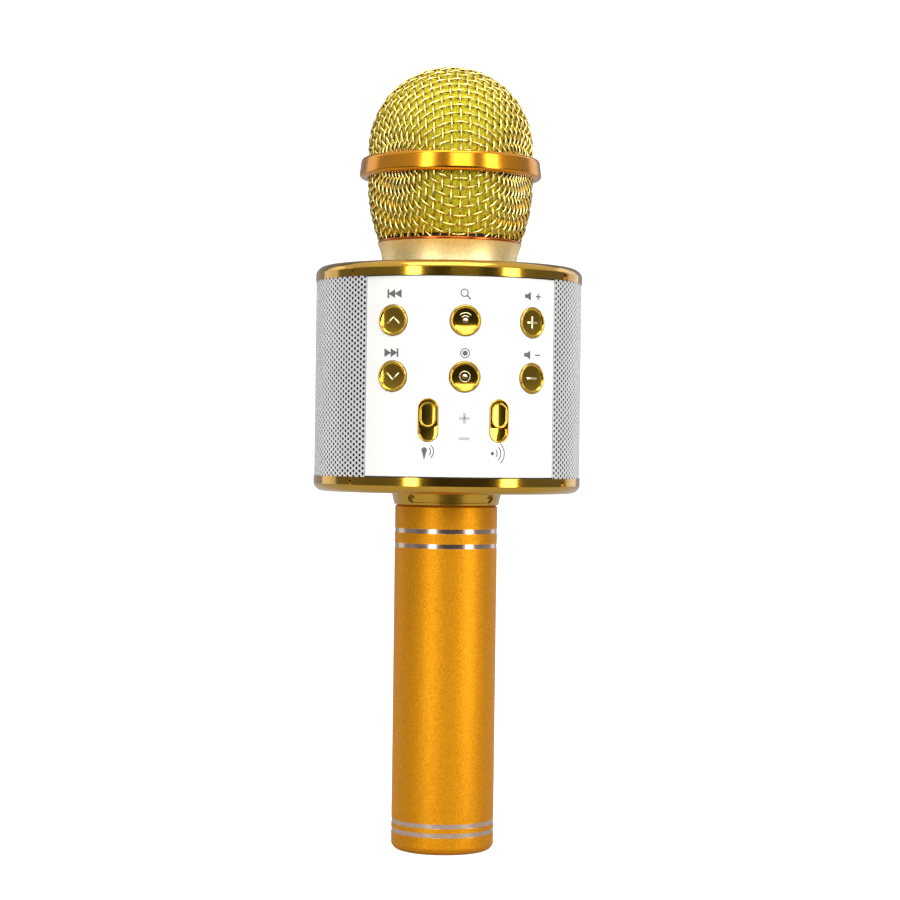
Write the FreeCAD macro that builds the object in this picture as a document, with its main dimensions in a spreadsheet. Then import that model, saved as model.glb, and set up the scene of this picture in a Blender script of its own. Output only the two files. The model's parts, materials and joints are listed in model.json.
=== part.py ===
"""Hand-held karaoke microphone with two built-in loudspeakers.

Millimetres. Origin at the centre of the foot, +Z up the handle, the control panel faces -Y.
Every driving size is a cell of the spreadsheet; every piece is bound to those cells.
"""
import FreeCAD, Part
import Sketcher
import math
import os
import re

SIZES = {
    # handle
    "tube_radius": 16.0, "tube_wall": 1.5, "handle_height": 107.8, "tube_chamfer": 0.7,
    "rim_run": 2.5, "rim_rise": 2.1, "rim_round": 2.4, "cap_height": 2.3,
    "plug_height": 7.0, "plug_wall": 1.6,
    "band_width": 1.4, "band_depth": 0.1, "low_band_height": 6.2, "low_band_pitch": 2.8,
    "high_band_drop": 8.1, "high_band_pitch": 4.6,
    "cell_radius": 9.0, "cell_length": 65.0, "cell_gap": 0.3, "cell_round": 0.5, "contact_radius": 3.0,
    "contact_height": 1.0,
    "sleeve_length": 70.0, "sleeve_floor": 1.5, "sleeve_gap": 0.5,
    "stem_radius": 12.1, "stem_bore": 9.0, "stem_depth": 12.0, "stem_proud": 2.0,
    "collar_height": 3.9, "collar_step": 0.3, "collar_flare": 0.95,
    # drum
    "drum_radius": 41.7, "drum_height": 60.4, "bottom_plate_height": 4.8, "top_plate_height": 4.7,
    "edge_run": 3.4, "edge_rise": 2.4, "edge_round": 3.1,
    "recess_half_angle": 52.0, "recess_depth": 0.4, "recess_height": 2.3, "recess_lip": 0.2,
    "collar_recess_height": 2.6, "collar_recess_depth": 0.35,
    "panel_step": 0.45, "panel_wall": 2.2, "panel_half_angle": 43.5, "seam_angle": 0.15,
    "grille_step": 0.2, "grille_wall": 0.8,
    "frame_gap": 0.3, "disc_height": 2.5, "post_radius": 2.0, "post_inset": 2.4, "baffle_wall": 2.0,
    "boss_width": 8.0, "boss_depth": 6.0, "boss_height": 6.0,
    # speakers
    "speaker_radius": 18.0, "speaker_margin": 3.0, "flange_wall": 1.5, "basket_depth": 9.5,
    "basket_wall": 1.0, "magnet_radius": 11.0, "magnet_height": 5.0, "cone_wall": 0.5, "cone_depth": 4.0,
    "surround_gap": 0.2, "rim_step": 2.0, "corner_step": 1.5, "roll_width": 1.8,
    "roll_round": 1.6, "cap_radius": 4.5, "cap_rise": 1.6,
    # push buttons
    "button_radius": 4.6, "button_gap": 0.15, "button_proud": 0.35, "button_rim": 0.8, "dish_depth": 0.3,
    "flange_step": 0.8, "button_flange": 0.8, "key_radius": 1.5, "button_travel": 0.5, "key_gap": 0.05,
    "column_angle": 30.7, "high_row_drop": 13.5, "low_row_drop": 30.2,
    "key_depth": 10.0, "switch_height": 2.5, "switch_width": 5.0, "board_wall": 1.2,
    # slide controls
    "slider_angle": 15.0, "slider_drop": 43.2, "pocket_width": 6.2, "pocket_length": 13.0, "bezel_wall": 0.3,
    "bezel_gap": 0.05, "bezel_depth": 3.0, "bezel_floor": 1.2, "bezel_proud": 0.1,
    "knob_width": 5.1, "knob_length": 7.6, "knob_rest_rise": 1.6, "knob_proud": 0.25, "knob_lift": 0.1,
    "lever_width": 1.2, "lever_length": 1.8, "lever_gap": 0.35, "lever_reach": 1.0, "lever_travel": 4.0,
    "lever_rise": 2.0, "lever_spare": 0.6,
    "fader_width": 7.0, "fader_length": 16.0, "fader_height": 3.4,
    # rear
    "rear_depth": 9.0, "rear_board_wall": 1.6, "port_height": 12.0,
    "jack_offset": 11.0, "jack_radius": 1.8, "jack_nose": 3.0, "jack_body": 8.0, "jack_tail": 6.5,
    "usb_width": 7.6, "usb_height": 2.9, "usb_wall": 0.4, "usb_depth": 5.5,
    "card_offset": 12.0, "card_width": 12.0, "card_height": 2.4, "card_slot": 1.2, "port_gap": 0.2,
    "power_height": 36.0, "power_width": 3.0, "power_length": 4.6, "power_travel": 3.0, "power_gap": 0.25,
    "power_body": 5.0, "power_case_width": 7.0, "power_case_length": 13.0, "power_lift": 0.3,
    "ridge_pitch": 0.9, "ridge_width": 0.4, "ridge_depth": 0.25,
    "power_proud": 0.3, "lamp_height": 24.0, "lamp_radius": 1.0, "lamp_step": 0.4,
    # neck and head
    "neck_height": 7.6, "neck_low_radius": 21.1, "neck_high_radius": 22.65, "neck_bore": 18.9,
    "neck_round": 14.0,
    "lip_height": 0.9, "lip_radius": 22.6, "lip_bore": 17.0, "thread_gap": 0.1,
    "cup_height": 19.5, "cup_round": 46.0, "mesh_wall": 0.9, "head_radius": 26.0, "seat_gap": 0.05,
    "ring_height": 6.2, "ring_high_radius": 28.0, "ring_low_radius": 28.5, "ring_round": 1.2,
    "dome_rise": 3.2,
    "foam_gap": 0.3, "foam_wall": 3.5, "pillar_height": 14.0, "pillar_radius": 8.0, "pillar_disc": 20.0,
    "pillar_wall": 2.0, "boot_radius": 13.2, "boot_height": 9.0, "boot_floor": 1.5, "capsule_radius": 10.0,
    "capsule_height": 9.5, "lead_hole": 2.0,
    # screws and leads
    "screw_radius": 1.0, "screw_head": 1.9, "screw_head_height": 1.2, "screw_length": 6.0,
    "slot_width": 0.6, "slot_depth": 0.5, "lead_radius": 0.6,
    "strip_inset": 5.0, "strip_width": 6.0, "strip_drop": 9.0, "strip_wall": 0.8,
}

# heights of the joints between pieces, from the foot up
plate_base = "(handle_height + collar_height)"
drum_base = f"({plate_base} + bottom_plate_height)"
drum_top = f"({drum_base} + drum_height)"
shoulder = f"({drum_top} + top_plate_height)"
neck_top = f"({shoulder} + neck_height)"
lip_top = f"({neck_top} + lip_height)"
ring_base = f"({lip_top} + cup_height)"
ring_top = f"({ring_base} + ring_height)"
dome_centre = f"({ring_top} + dome_rise)"
ring_middle = f"({ring_base} + ring_height / 2)"
speaker_height = f"({drum_base} + drum_height / 2)"
stem_top = f"({drum_base} + disc_height + stem_proud)"

# radii of the drum
panel_outer = "(drum_radius - panel_step)"
panel_inner = "(drum_radius - panel_step - panel_wall)"
frame_radius = f"({panel_inner} - frame_gap)"
post_ring = f"({panel_inner} - post_inset)"
tube_bore = "(tube_radius - tube_wall)"
collar_low = "(tube_radius + collar_step)"
collar_high = f"({collar_low} + collar_flare)"
stem_hole = "(stem_radius + seat_gap)"

# the front board and what stands on it
switch_top = f"({panel_inner} - key_depth)"
board_face = f"({switch_top} - switch_height)"
board_back = f"({board_face} - board_wall)"
board_half = f"({post_ring} * sin(panel_half_angle) - post_radius - 0.5)"
board_low = f"({drum_base} + disc_height + 0.5)"
board_high = f"({drum_top} - disc_height - 0.5)"
fader_top = f"({board_face} + fader_height)"

# the rear board and its sockets
rear_face = f"({panel_inner} - rear_depth)"
rear_back = f"({rear_face} - rear_board_wall)"
port_row = f"({drum_base} + port_height)"
power_row = f"({drum_base} + power_height)"
power_reach = f"({rear_face} + power_body)"

baffle_face = f"sqrt({frame_radius} ^ 2 - (speaker_radius + speaker_margin) ^ 2)"
baffle_back = f"({baffle_face} - baffle_wall)"

BUTTONS = {
    "previous_button": (-1, "high_row_drop"), "next_button": (-1, "low_row_drop"),
    "scan_button": (0, "high_row_drop"), "record_button": (0, "low_row_drop"),
    "volume_up_button": (1, "high_row_drop"), "volume_down_button": (1, "low_row_drop"),
}
SLIDERS = {"mic_volume": -1, "echo": 1}
SIDES = {"left": -1, "right": 1}

doc = FreeCAD.newDocument("karaoke_microphone")
sheet = doc.addObject("Spreadsheet::Sheet", "Sizes")
for row, (alias, size) in enumerate(SIZES.items(), start=1):
    sheet.set(f"A{row}", str(size))
    sheet.setAlias(f"A{row}", alias)
doc.recompute()

NODES = []


def formula(text):
    """Writes the sheet's name before each of its aliases."""
    return re.sub(r"[a-z_]+", lambda word: "Sizes." + word[0] if word[0] in SIZES else word[0], str(text))


def value(text):
    return float(sheet.evalExpression(formula(text)))


def bind(piece, **sizes):
    for name, text in sizes.items():
        piece.setExpression(name, formula(text))
    return piece


def place(piece, x=0, y=0, z=0, yaw=0, pitch=0, roll=0):
    """Places a piece: its own axes turned by roll, pitch, then yaw, and its origin moved to x, y, z."""
    piece.setExpression("Placement", formula(
        f"placement(vector({x}; {y}; {z}); rotation({yaw}; {pitch}; {roll}))"))
    return piece


def facing(piece, angle, z):
    """Turns a piece's Z to point out of the drum at an angle from -Y, with its Y up."""
    return place(piece, z=z, yaw=angle, roll=90)


def new(kind, **sizes):
    return bind(doc.addObject(kind, "piece"), **sizes)


def node(piece, label):
    piece.Label = label
    NODES.append(piece)
    return piece


def cylinder(radius, low, high):
    """A round bar on Z between two heights."""
    bar = new("Part::Cylinder", Radius=radius, Height=f"({high}) - ({low})")
    return place(bar, z=low)


def bar_in(piece_radius, low, high, angle, z):
    """A round bar along the drum's radius, between two distances from the axis."""
    bar = new("Part::Cylinder", Radius=piece_radius, Height=f"({high}) - ({low})")
    x, y = f"({low}) * sin({angle})", f"-({low}) * cos({angle})"
    return place(bar, x=x, y=y, z=z, yaw=angle, roll=90)


def block(x, y, z):
    """A box between two values along each axis."""
    spans = [f"({high}) - ({low})" for low, high in (x, y, z)]
    box = new("Part::Box", Length=spans[0], Width=spans[1], Height=spans[2])
    return place(box, x=x[0], y=y[0], z=z[0])


def fuse(*pieces):
    whole = doc.addObject("Part::MultiFuse", "fusion")
    whole.Shapes = list(pieces)
    whole.Refine = True
    return whole


def group(*pieces):
    together = doc.addObject("Part::Compound", "group")
    together.Links = list(pieces)
    return together


def cut(base, *tools):
    result = doc.addObject("Part::Cut", "cut")
    result.Base = base
    result.Tool = tools[0] if len(tools) == 1 else fuse(*tools)
    result.Refine = True
    return result


def common(first, second):
    result = doc.addObject("Part::Common", "common")
    result.Base = first
    result.Tool = second
    return result


def pill(width, length, low, high):
    """A bar with a round-ended outline, its length along Y, from low to high on Z."""
    half, run = f"({width}) / 2", f"(({length}) / 2 - ({width}) / 2)"
    middle = block((f"-{half}", half), (f"-{run}", run), (low, high))
    ends = [place(new("Part::Cylinder", Radius=half, Height=f"({high}) - ({low})"),
                  y=f"{side} * {run}", z=low) for side in (-1, 1)]
    return fuse(middle, *ends)


def arc_between(start, end, radius):
    """The shorter arc of a radius from start to end, its centre on the left of the way there."""
    chord = end - start
    left = FreeCAD.Vector(-chord.y, chord.x, 0).normalize()
    centre = (start + end) / 2 + left * math.sqrt(radius ** 2 - (chord.Length / 2) ** 2)
    angles = [math.atan2(point.y - centre.y, point.x - centre.x) for point in (start, end)]
    return Part.ArcOfCircle(Part.Circle(centre, FreeCAD.Vector(0, 0, 1), radius), *angles)


def revolved(outline, sweep=360):
    """A body turned about Z. Each corner is (radius, height) or (radius, height, arc radius to the next
    corner), anticlockwise; a minus sign makes that arc hollow. A part sweep is centred on +X."""
    body = doc.addObject("PartDesign::Body", "body")
    sketch = body.newObject("Sketcher::SketchObject", "outline")
    plane = [feature for feature in body.Origin.OriginFeatures if feature.Role == "XZ_Plane"][0]
    sketch.AttachmentSupport = [(plane, "")]
    sketch.MapMode = "FlatFace"
    points = [FreeCAD.Vector(value(corner[0]), value(corner[1]), 0) for corner in outline]
    starts = []
    for index, corner in enumerate(outline):
        here, there = points[index], points[(index + 1) % len(points)]
        if len(corner) == 2:
            sketch.addGeometry(Part.LineSegment(here, there))
            starts.append((index, 1, 2))
        elif corner[2].startswith("-"):
            sketch.addGeometry(arc_between(there, here, value(corner[2][1:])))
            starts.append((index, 2, 1))
        else:
            sketch.addGeometry(arc_between(here, there, value(corner[2])))
            starts.append((index, 1, 2))
    for index, corner in enumerate(outline):
        following = starts[(index + 1) % len(starts)]
        sketch.addConstraint(Sketcher.Constraint(
            "Coincident", starts[index][0], starts[index][2], following[0], following[1]))
        for kind, text, number in (("DistanceX", corner[0], points[index].x),
                                   ("DistanceY", corner[1], points[index].y)):
            made = sketch.addConstraint(Sketcher.Constraint(
                kind, -1, 1, index, starts[index][1], number))
            sketch.setExpression(f"Constraints[{made}]", formula(text))
        if len(corner) == 3:
            made = sketch.addConstraint(Sketcher.Constraint("Radius", index, value(corner[2].lstrip("-"))))
            sketch.setExpression(f"Constraints[{made}]", formula(corner[2].lstrip("-")))
    turn = body.newObject("PartDesign::Revolution", "turn")
    turn.Profile = sketch
    turn.ReferenceAxis = (sketch, ["V_Axis"])
    if sweep == 360:
        turn.Angle = 360
    else:
        turn.Midplane = True
        turn.setExpression("Angle", formula(sweep))
    return body


def shell_sector(inner, outer, low, high, sweep, middle):
    """A curved wall about Z, centred on a compass angle: 0 is -Y and 90 is +X."""
    wall = revolved([(inner, low), (outer, low), (outer, high), (inner, high)], sweep)
    return place(wall, yaw=f"{middle} - 90")


def lead(routes, radius):
    """Round wires along straight runs joined by tangent arcs."""
    wires = []
    for points in routes:
        knots = [FreeCAD.Vector(*[value(part) for part in point]) for point in points]
        edges, here = [], knots[0]
        for before, corner, after in zip(knots, knots[1:], knots[2:]):
            back, on = (before - corner), (after - corner)
            turn = math.pi - back.getAngle(on)
            bend = 0.45 * min(back.Length, on.Length) / math.tan(turn / 2)
            bend = min(bend, 6.0)
            reach = bend * math.tan(turn / 2)
            start, end = corner + back.normalize() * reach, corner + on.normalize() * reach
            inward = (start + end) / 2 - corner
            middle = corner + inward.normalize() * (bend / math.cos(turn / 2) - bend)
            edges += [Part.LineSegment(here, start).toShape(), Part.Arc(start, middle, end).toShape()]
            here = end
        edges.append(Part.LineSegment(here, knots[-1]).toShape())
        path = Part.Wire(edges)
        ring = Part.Wire([Part.Circle(knots[0], knots[1] - knots[0], value(radius)).toShape()])
        wires.append(path.makePipeShell([ring], True, False))
    wire = doc.addObject("Part::Feature", "lead")
    wire.Shape = Part.makeCompound(wires)
    wire.Placement = FreeCAD.Placement()
    return wire


def screw(x, y, z, yaw=0, pitch=0, roll=0):
    """A screw whose head stands at its place and whose thread runs down its own -Z."""
    thread = cylinder("screw_radius", "-screw_length", "0.2")
    head = cylinder("screw_head", "0", "screw_head_height")
    slot = block(("-screw_head", "screw_head"), ("-slot_width / 2", "slot_width / 2"),
                 ("screw_head_height - slot_depth", "screw_head_height + 1"))
    return place(cut(fuse(thread, head), slot), x, y, z, yaw, pitch, roll)


def handle():
    plug = f"({tube_bore} - seat_gap)"
    plug_top = "(cap_height + plug_height)"
    node(revolved([
        (0, 0), ("tube_radius - rim_run", 0, "rim_round"), ("tube_radius", "rim_rise"),
        ("tube_radius", "cap_height"), (plug, "cap_height"), (plug, plug_top),
        (f"{plug} - plug_wall", plug_top), (f"{plug} - plug_wall", "cap_height"), (0, "cap_height"),
    ]), "end_cap")
    grooves = []
    for centre in ("low_band_height", "low_band_height + low_band_pitch",
                   "handle_height - high_band_drop - high_band_pitch", "handle_height - high_band_drop"):
        low, high = f"{centre} - band_width / 2", f"{centre} + band_width / 2"
        grooves += [("tube_radius", low), ("tube_radius - band_depth", low),
                    ("tube_radius - band_depth", high), ("tube_radius", high)]
    node(revolved([
        (tube_bore, "cap_height"), ("tube_radius", "cap_height"), *grooves,
        ("tube_radius", "handle_height - tube_chamfer"), ("tube_radius - tube_chamfer", "handle_height"),
        (tube_bore, "handle_height"),
    ]), "handle_tube")
    sleeve_outer = f"({tube_bore} - thread_gap)"
    sleeve_base = f"({plug_top} + sleeve_gap)"
    cell_base = f"({sleeve_base} + sleeve_floor)"
    cell_top = f"({cell_base} + cell_length)"
    sleeve_top = f"({sleeve_base} + sleeve_length)"
    node(revolved([
        (0, sleeve_base), (sleeve_outer, sleeve_base), (sleeve_outer, sleeve_top),
        ("cell_radius + cell_gap", sleeve_top), ("cell_radius + cell_gap", cell_base), (0, cell_base),
    ]), "battery_sleeve")
    node(revolved([
        (0, cell_base), ("cell_radius - cell_round", cell_base, "cell_round"),
        ("cell_radius", f"{cell_base} + cell_round"),
        ("cell_radius", f"{cell_top} - contact_height - cell_round"),
        ("cell_radius - cell_round", f"{cell_top} - contact_height"),
        ("contact_radius", f"{cell_top} - contact_height"), ("contact_radius", cell_top), (0, cell_top),
    ]), "battery_cell")
    node(revolved([
        ("stem_bore", "handle_height - stem_depth"), (sleeve_outer, "handle_height - stem_depth"),
        (sleeve_outer, "handle_height"), ("stem_radius", "handle_height"),
        ("stem_radius", stem_top), ("stem_bore", stem_top),
    ]), "handle_stem")
    collar = revolved([
        (stem_hole, "handle_height"), (collar_low, "handle_height"), (collar_high, plate_base),
        (stem_hole, plate_base),
    ])
    slope = "collar_flare / collar_height"
    margin = "(collar_height - collar_recess_height) / 2"
    low, high = f"(handle_height + {margin})", f"({plate_base} - {margin})"
    low_radius = f"({collar_low} + {slope} * {margin} - collar_recess_depth)"
    high_radius = f"({collar_high} - {slope} * {margin} - collar_recess_depth)"
    node(cut(collar, recess(low_radius, high_radius, low, high)), "handle_collar")
    return cell_top


def recess(low_radius, high_radius, low, high):
    """A round-ended groove cutter across the front of an edge."""
    half = f"(({high} - {low}) / 2)"
    inset = f"(asin({half} / {low_radius}) / 1 deg)"
    band = place(revolved([(low_radius, low), (f"{low_radius} + 4", low), (f"{high_radius} + 4", high),
                           (high_radius, high)], f"2 * (recess_half_angle - {inset})"), yaw=-90)
    ends = [bar_in(half, f"({low_radius} + {high_radius}) / 2", f"{high_radius} + 4",
                   f"{side} * (recess_half_angle - {inset})", f"{low} + {half}") for side in (-1, 1)]
    return fuse(band, *ends)


def plates():
    edge = "(drum_radius - recess_depth)"
    bottom = revolved([
        (stem_hole, plate_base), ("drum_radius - edge_run", plate_base, "edge_round"),
        ("drum_radius", f"{plate_base} + edge_rise"), ("drum_radius", drum_base), (stem_hole, drum_base),
    ])
    groove = recess(edge, edge, f"({drum_base} - recess_lip - recess_height)", f"({drum_base} - recess_lip)")
    node(cut(bottom, groove), "bottom_plate")
    top = revolved([
        (stem_hole, drum_top), ("drum_radius", drum_top),
        ("drum_radius", f"{shoulder} - edge_rise", "edge_round"),
        ("drum_radius - edge_run", shoulder), (stem_hole, shoulder),
    ])
    groove = recess(edge, edge, f"({drum_top} + recess_lip)", f"({drum_top} + recess_lip + recess_height)")
    node(cut(top, groove), "top_plate")


def head():
    node(revolved([
        ("neck_bore", shoulder), ("neck_low_radius", shoulder, "-neck_round"), ("neck_high_radius", neck_top),
        ("neck_bore", neck_top),
    ]), "neck_collar")
    thread = "(neck_bore - thread_gap)"
    node(revolved([
        ("lip_bore", f"{shoulder} + 1.5"), (thread, f"{shoulder} + 1.5"), (thread, neck_top),
        ("lip_radius - 0.3", neck_top, "0.6"), ("lip_radius - 0.3", lip_top), ("lip_bore", lip_top),
    ]), "grille_base_ring")
    outside = "(head_radius - seat_gap)"
    inside = f"({outside} - mesh_wall)"
    node(revolved([
        ("lip_radius - 0.3 - mesh_wall", lip_top), ("lip_radius - 0.3", lip_top, "cup_round"),
        (outside, ring_base), (outside, f"{ring_middle} - 0.2"), (inside, f"{ring_middle} - 0.2"),
        (inside, ring_base, "-cup_round"),
    ]), "grille_cup")
    node(revolved([
        ("head_radius", ring_base), ("ring_low_radius - ring_round", ring_base, "ring_round"),
        ("ring_low_radius", f"{ring_base} + ring_round"), ("ring_high_radius", f"{ring_top} - ring_round",
                                                           "ring_round"),
        ("ring_high_radius - ring_round", ring_top), ("head_radius", ring_top),
    ]), "grille_ring")
    node(revolved([
        (inside, ring_middle), (outside, ring_middle), (outside, dome_centre, outside),
        (0, f"{dome_centre} + {outside}"), (0, f"{dome_centre} + {inside}", f"-{inside}"),
        (inside, dome_centre),
    ]), "grille_dome")
    foam_low = f"({lip_top} + pillar_wall + foam_gap)"
    foam_out = f"({inside} - foam_gap)"
    foam_in = f"({foam_out} - foam_wall)"
    node(revolved([
        (f"lip_radius - mesh_wall - 0.2 - foam_gap - foam_wall", foam_low),
        (f"lip_radius - mesh_wall - 0.2 - foam_gap", foam_low, "cup_round"),
        (foam_out, ring_base), (foam_out, dome_centre, foam_out), (0, f"{dome_centre} + {foam_out}"),
        (0, f"{dome_centre} + {foam_in}", f"-{foam_in}"), (foam_in, dome_centre), (foam_in, ring_base),
    ]), "foam_liner")
    seat = f"({lip_top} + pillar_height)"
    boot_base = f"({seat} + pillar_wall)"
    node(revolved([
        ("lead_hole", lip_top), ("pillar_disc", lip_top), ("pillar_disc", f"{lip_top} + pillar_wall"),
        ("pillar_radius", f"{lip_top} + pillar_wall"), ("pillar_radius", f"{seat} - pillar_wall * 2"),
        ("boot_radius", seat), ("boot_radius", boot_base), ("lead_hole", boot_base),
    ]), "capsule_mount")
    capsule_base = f"({boot_base} + boot_floor)"
    node(revolved([
        ("lead_hole", boot_base), ("boot_radius", boot_base),
        ("boot_radius", f"{boot_base} + boot_height - 1"),
        ("boot_radius - 1", f"{boot_base} + boot_height"), ("capsule_radius", f"{boot_base} + boot_height"),
        ("capsule_radius", capsule_base), ("lead_hole", capsule_base),
    ]), "capsule_boot")
    capsule_top = f"({capsule_base} + capsule_height)"
    node(revolved([
        (0, capsule_base), ("capsule_radius", capsule_base), ("capsule_radius", f"{capsule_top} - 0.6"),
        ("capsule_radius - 0.6", capsule_top), ("capsule_radius - 2", capsule_top),
        ("capsule_radius - 2", f"{capsule_top} - 0.8"), (0, f"{capsule_top} - 0.8"),
    ]), "microphone_capsule")
    return capsule_base


def shells():
    slots = []
    for side, drop in BUTTONS.values():
        slots.append(bar_in("button_radius + button_gap", f"{panel_inner} - 2", "drum_radius + 2",
                            f"{side} * column_angle", f"{drum_top} - {drop}"))
    for side in SLIDERS.values():
        slots.append(facing(pill("pocket_width + 2 * bezel_gap", "pocket_length + 2 * bezel_gap",
                                 f"{panel_inner} - 2", "drum_radius + 2"),
                            f"{side} * slider_angle", f"{drum_top} - slider_drop"))
    sweep = "2 * panel_half_angle"
    node(cut(shell_sector(panel_inner, panel_outer, drum_base, drum_top, sweep, 0), *slots), "front_panel")
    out = ("0", "drum_radius + 2")
    windows = [
        place(new("Part::Cylinder", Radius="jack_nose + port_gap", Height=out[1]),
              x="jack_offset", z=port_row, roll=-90),
        block(("-usb_width / 2 - port_gap", "usb_width / 2 + port_gap"), out,
              (f"{port_row} - usb_height / 2 - port_gap", f"{port_row} + usb_height / 2 + port_gap")),
        block(("-card_offset - card_width / 2", "-card_offset + card_width / 2"), out,
              (f"{port_row} - card_slot / 2 - port_gap", f"{port_row} + card_slot / 2 + port_gap")),
        place(pill("power_width + 2 * power_gap", "power_length + power_travel + 2 * power_gap", *out),
              z=f"{power_row} - power_travel / 2", yaw=180, roll=90),
        place(new("Part::Cylinder", Radius="lamp_radius + 0.05", Height=out[1]),
              z=f"{drum_base} + lamp_height", roll=-90),
    ]
    node(cut(shell_sector(panel_inner, panel_outer, drum_base, drum_top, sweep, 180), *windows), "rear_panel")
    grille_outer = "(drum_radius - grille_step)"
    for name, side in SIDES.items():
        node(shell_sector(f"({grille_outer} - grille_wall)", grille_outer, drum_base, drum_top,
                          "180 - 2 * panel_half_angle - 2 * seam_angle", 90 * side), f"speaker_grille_{name}")


def body_frame():
    rim = cylinder(frame_radius, drum_base, drum_top)
    discs = [cylinder(frame_radius, drum_base, f"({drum_base} + disc_height)"),
             cylinder(frame_radius, f"({drum_top} - disc_height)", drum_top)]
    walls = [common(block((f"{side} * {baffle_back} - (1 - {side}) / 2 * baffle_wall",
                           f"{side} * {baffle_back} + (1 + {side}) / 2 * baffle_wall"),
                          (f"-{frame_radius}", frame_radius), (drum_base, drum_top)), rim)
             for side in SIDES.values()]
    posts = [post("post_radius", "drum_height", x, y) for x in (-1, 1) for y in (-1, 1)]
    boss_low = (f"{drum_base} + 1", f"{drum_base} + disc_height + boss_height")
    boss_high = (f"{drum_top} - disc_height - boss_height", f"{drum_top} - 1")
    bosses = [block(("-boss_width / 2", "boss_width / 2"), span, heights) for heights in (boss_low, boss_high)
              for span in ((f"-{board_back}", f"-{board_back} + boss_depth"),
                           (f"{rear_back} - boss_depth", rear_back))]
    holes = [cylinder(stem_hole, f"({drum_base} - 1)", f"({drum_top} + 1)"),
             place(new("Part::Cylinder", Radius="speaker_radius - rim_step", Height=f"2 * {panel_outer}"),
                   x=f"-{panel_outer}", z=speaker_height, pitch=90)]
    holes += [post("screw_radius", "screw_length", x, y) for x in (-1, 1) for y in (-1, 1)]
    holes += board_screw_bars("screw_radius")
    holes += speaker_screw_bars()
    node(cut(fuse(*discs, *walls, *posts, *bosses), *holes), "body_frame")


def post(radius, height, x, y):
    """An upright bar on the foot of the drum at one of its four corner posts."""
    return place(new("Part::Cylinder", Radius=radius, Height=height),
                 x=f"{x} * {post_ring} * sin(panel_half_angle)",
                 y=f"{y} * {post_ring} * cos(panel_half_angle)", z=drum_base)


def board_screw_bars(radius):
    """The holes for the screws through both boards into the frame's bosses."""
    return [place(new("Part::Cylinder", Radius=radius, Height=f"{board_face} + {rear_face}"),
                  y=f"-{board_face}", z=height, roll=-90) for height in board_screw_heights()]


def board_screw_heights():
    return (f"({drum_base} + disc_height + boss_height / 2)", f"({drum_top} - disc_height - boss_height / 2)")


SPEAKER_SCREW_ANGLES = (45, 135, 225, 315)
screw_ring = "(speaker_radius + 1)"


def speaker_screw_places(side):
    """Where the four screws of a speaker stand, at the corners of its square flange."""
    return [(f"{side} * ({baffle_back} - flange_wall)", f"{screw_ring} * cos({angle})",
             f"{speaker_height} + {screw_ring} * sin({angle})") for angle in SPEAKER_SCREW_ANGLES]


def speaker_screw_bars():
    return [place(new("Part::Cylinder", Radius="screw_radius", Height=f"baffle_wall + flange_wall + 1"),
                  x=x, y=y, z=z, pitch=90 * side)
            for side in SIDES.values() for x, y, z in speaker_screw_places(side)]


def push_buttons():
    flange_radius = "(button_radius + flange_step)"
    flange_top = f"(sqrt({panel_inner} ^ 2 - {flange_radius} ^ 2) - key_gap)"
    cap_top = f"({panel_outer} + button_proud)"
    for name, (side, drop) in BUTTONS.items():
        angle = f"{side} * column_angle"
        key_end = (f"(({switch_top} + key_radius * sin(abs({angle}))) / cos({angle})"
                   " + button_travel + key_gap)")
        cap = cylinder("button_radius", flange_top, cap_top)
        flange = cylinder(flange_radius, f"({flange_top} - button_flange)", flange_top)
        key = cylinder("key_radius", key_end, flange_top)
        dish = cylinder("button_radius - button_rim", f"({cap_top} - dish_depth)", f"({cap_top} + 1)")
        node(facing(cut(fuse(cap, flange, key), dish), angle, f"{drum_top} - {drop}"), name)


def slide_controls():
    front = f"({panel_outer} + bezel_proud)"
    back = f"({front} - bezel_depth)"
    floor = f"({back} + bezel_floor)"
    row = f"{drum_top} - slider_drop"
    rest = f"({row} + knob_rest_rise)"
    opening_width, opening_length = "(pocket_width - 2 * bezel_wall)", "(pocket_length - 2 * bezel_wall)"
    slot_length = "(lever_length + lever_travel + lever_spare + 2 * lever_gap)"
    slot_width = "(lever_width + 2 * lever_gap)"
    slot_rise = "(knob_rest_rise + lever_rise + lever_spare / 2 - lever_travel / 2)"
    faders = []
    for name, side in SLIDERS.items():
        angle = f"{side} * slider_angle"
        cup = pill("pocket_width", "pocket_length", back, front)
        well = pill(opening_width, opening_length, floor, f"({front} + 1)")
        lever_end = f"({fader_top} / cos(slider_angle) - lever_reach)"

        def lever_slot(low, high):
            span = (f"{slot_rise} - {slot_length} / 2", f"{slot_rise} + {slot_length} / 2")
            return block((f"-{slot_width} / 2", f"{slot_width} / 2"), span, (low, high))

        node(facing(cut(cup, well, lever_slot(f"({back} - 1)", front)), angle, row), f"{name}_bezel")
        knob = pill("knob_width", "knob_length", f"({floor} + knob_lift)", f"({panel_outer} + knob_proud)")
        lever = block(("-lever_width / 2", "lever_width / 2"),
                      ("lever_rise - lever_length / 2", "lever_rise + lever_length / 2"),
                      (lever_end, f"{floor} + knob_lift + 0.5"))
        node(facing(fuse(knob, lever), angle, rest), f"{name}_slider")
        centre = f"{board_face} * tan({angle})"
        case = block((f"{centre} - fader_width / 2", f"{centre} + fader_width / 2"),
                     (f"-{fader_top}", f"-{board_face}"),
                     (f"{row} - fader_length / 2", f"{row} + fader_length / 2"))
        channel = facing(group(lever_slot(f"({lever_end} - lever_gap)", f"({fader_top} + 6)")), angle, row)
        faders.append(cut(case, channel))
    node(group(*faders), "fader_bodies")


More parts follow.
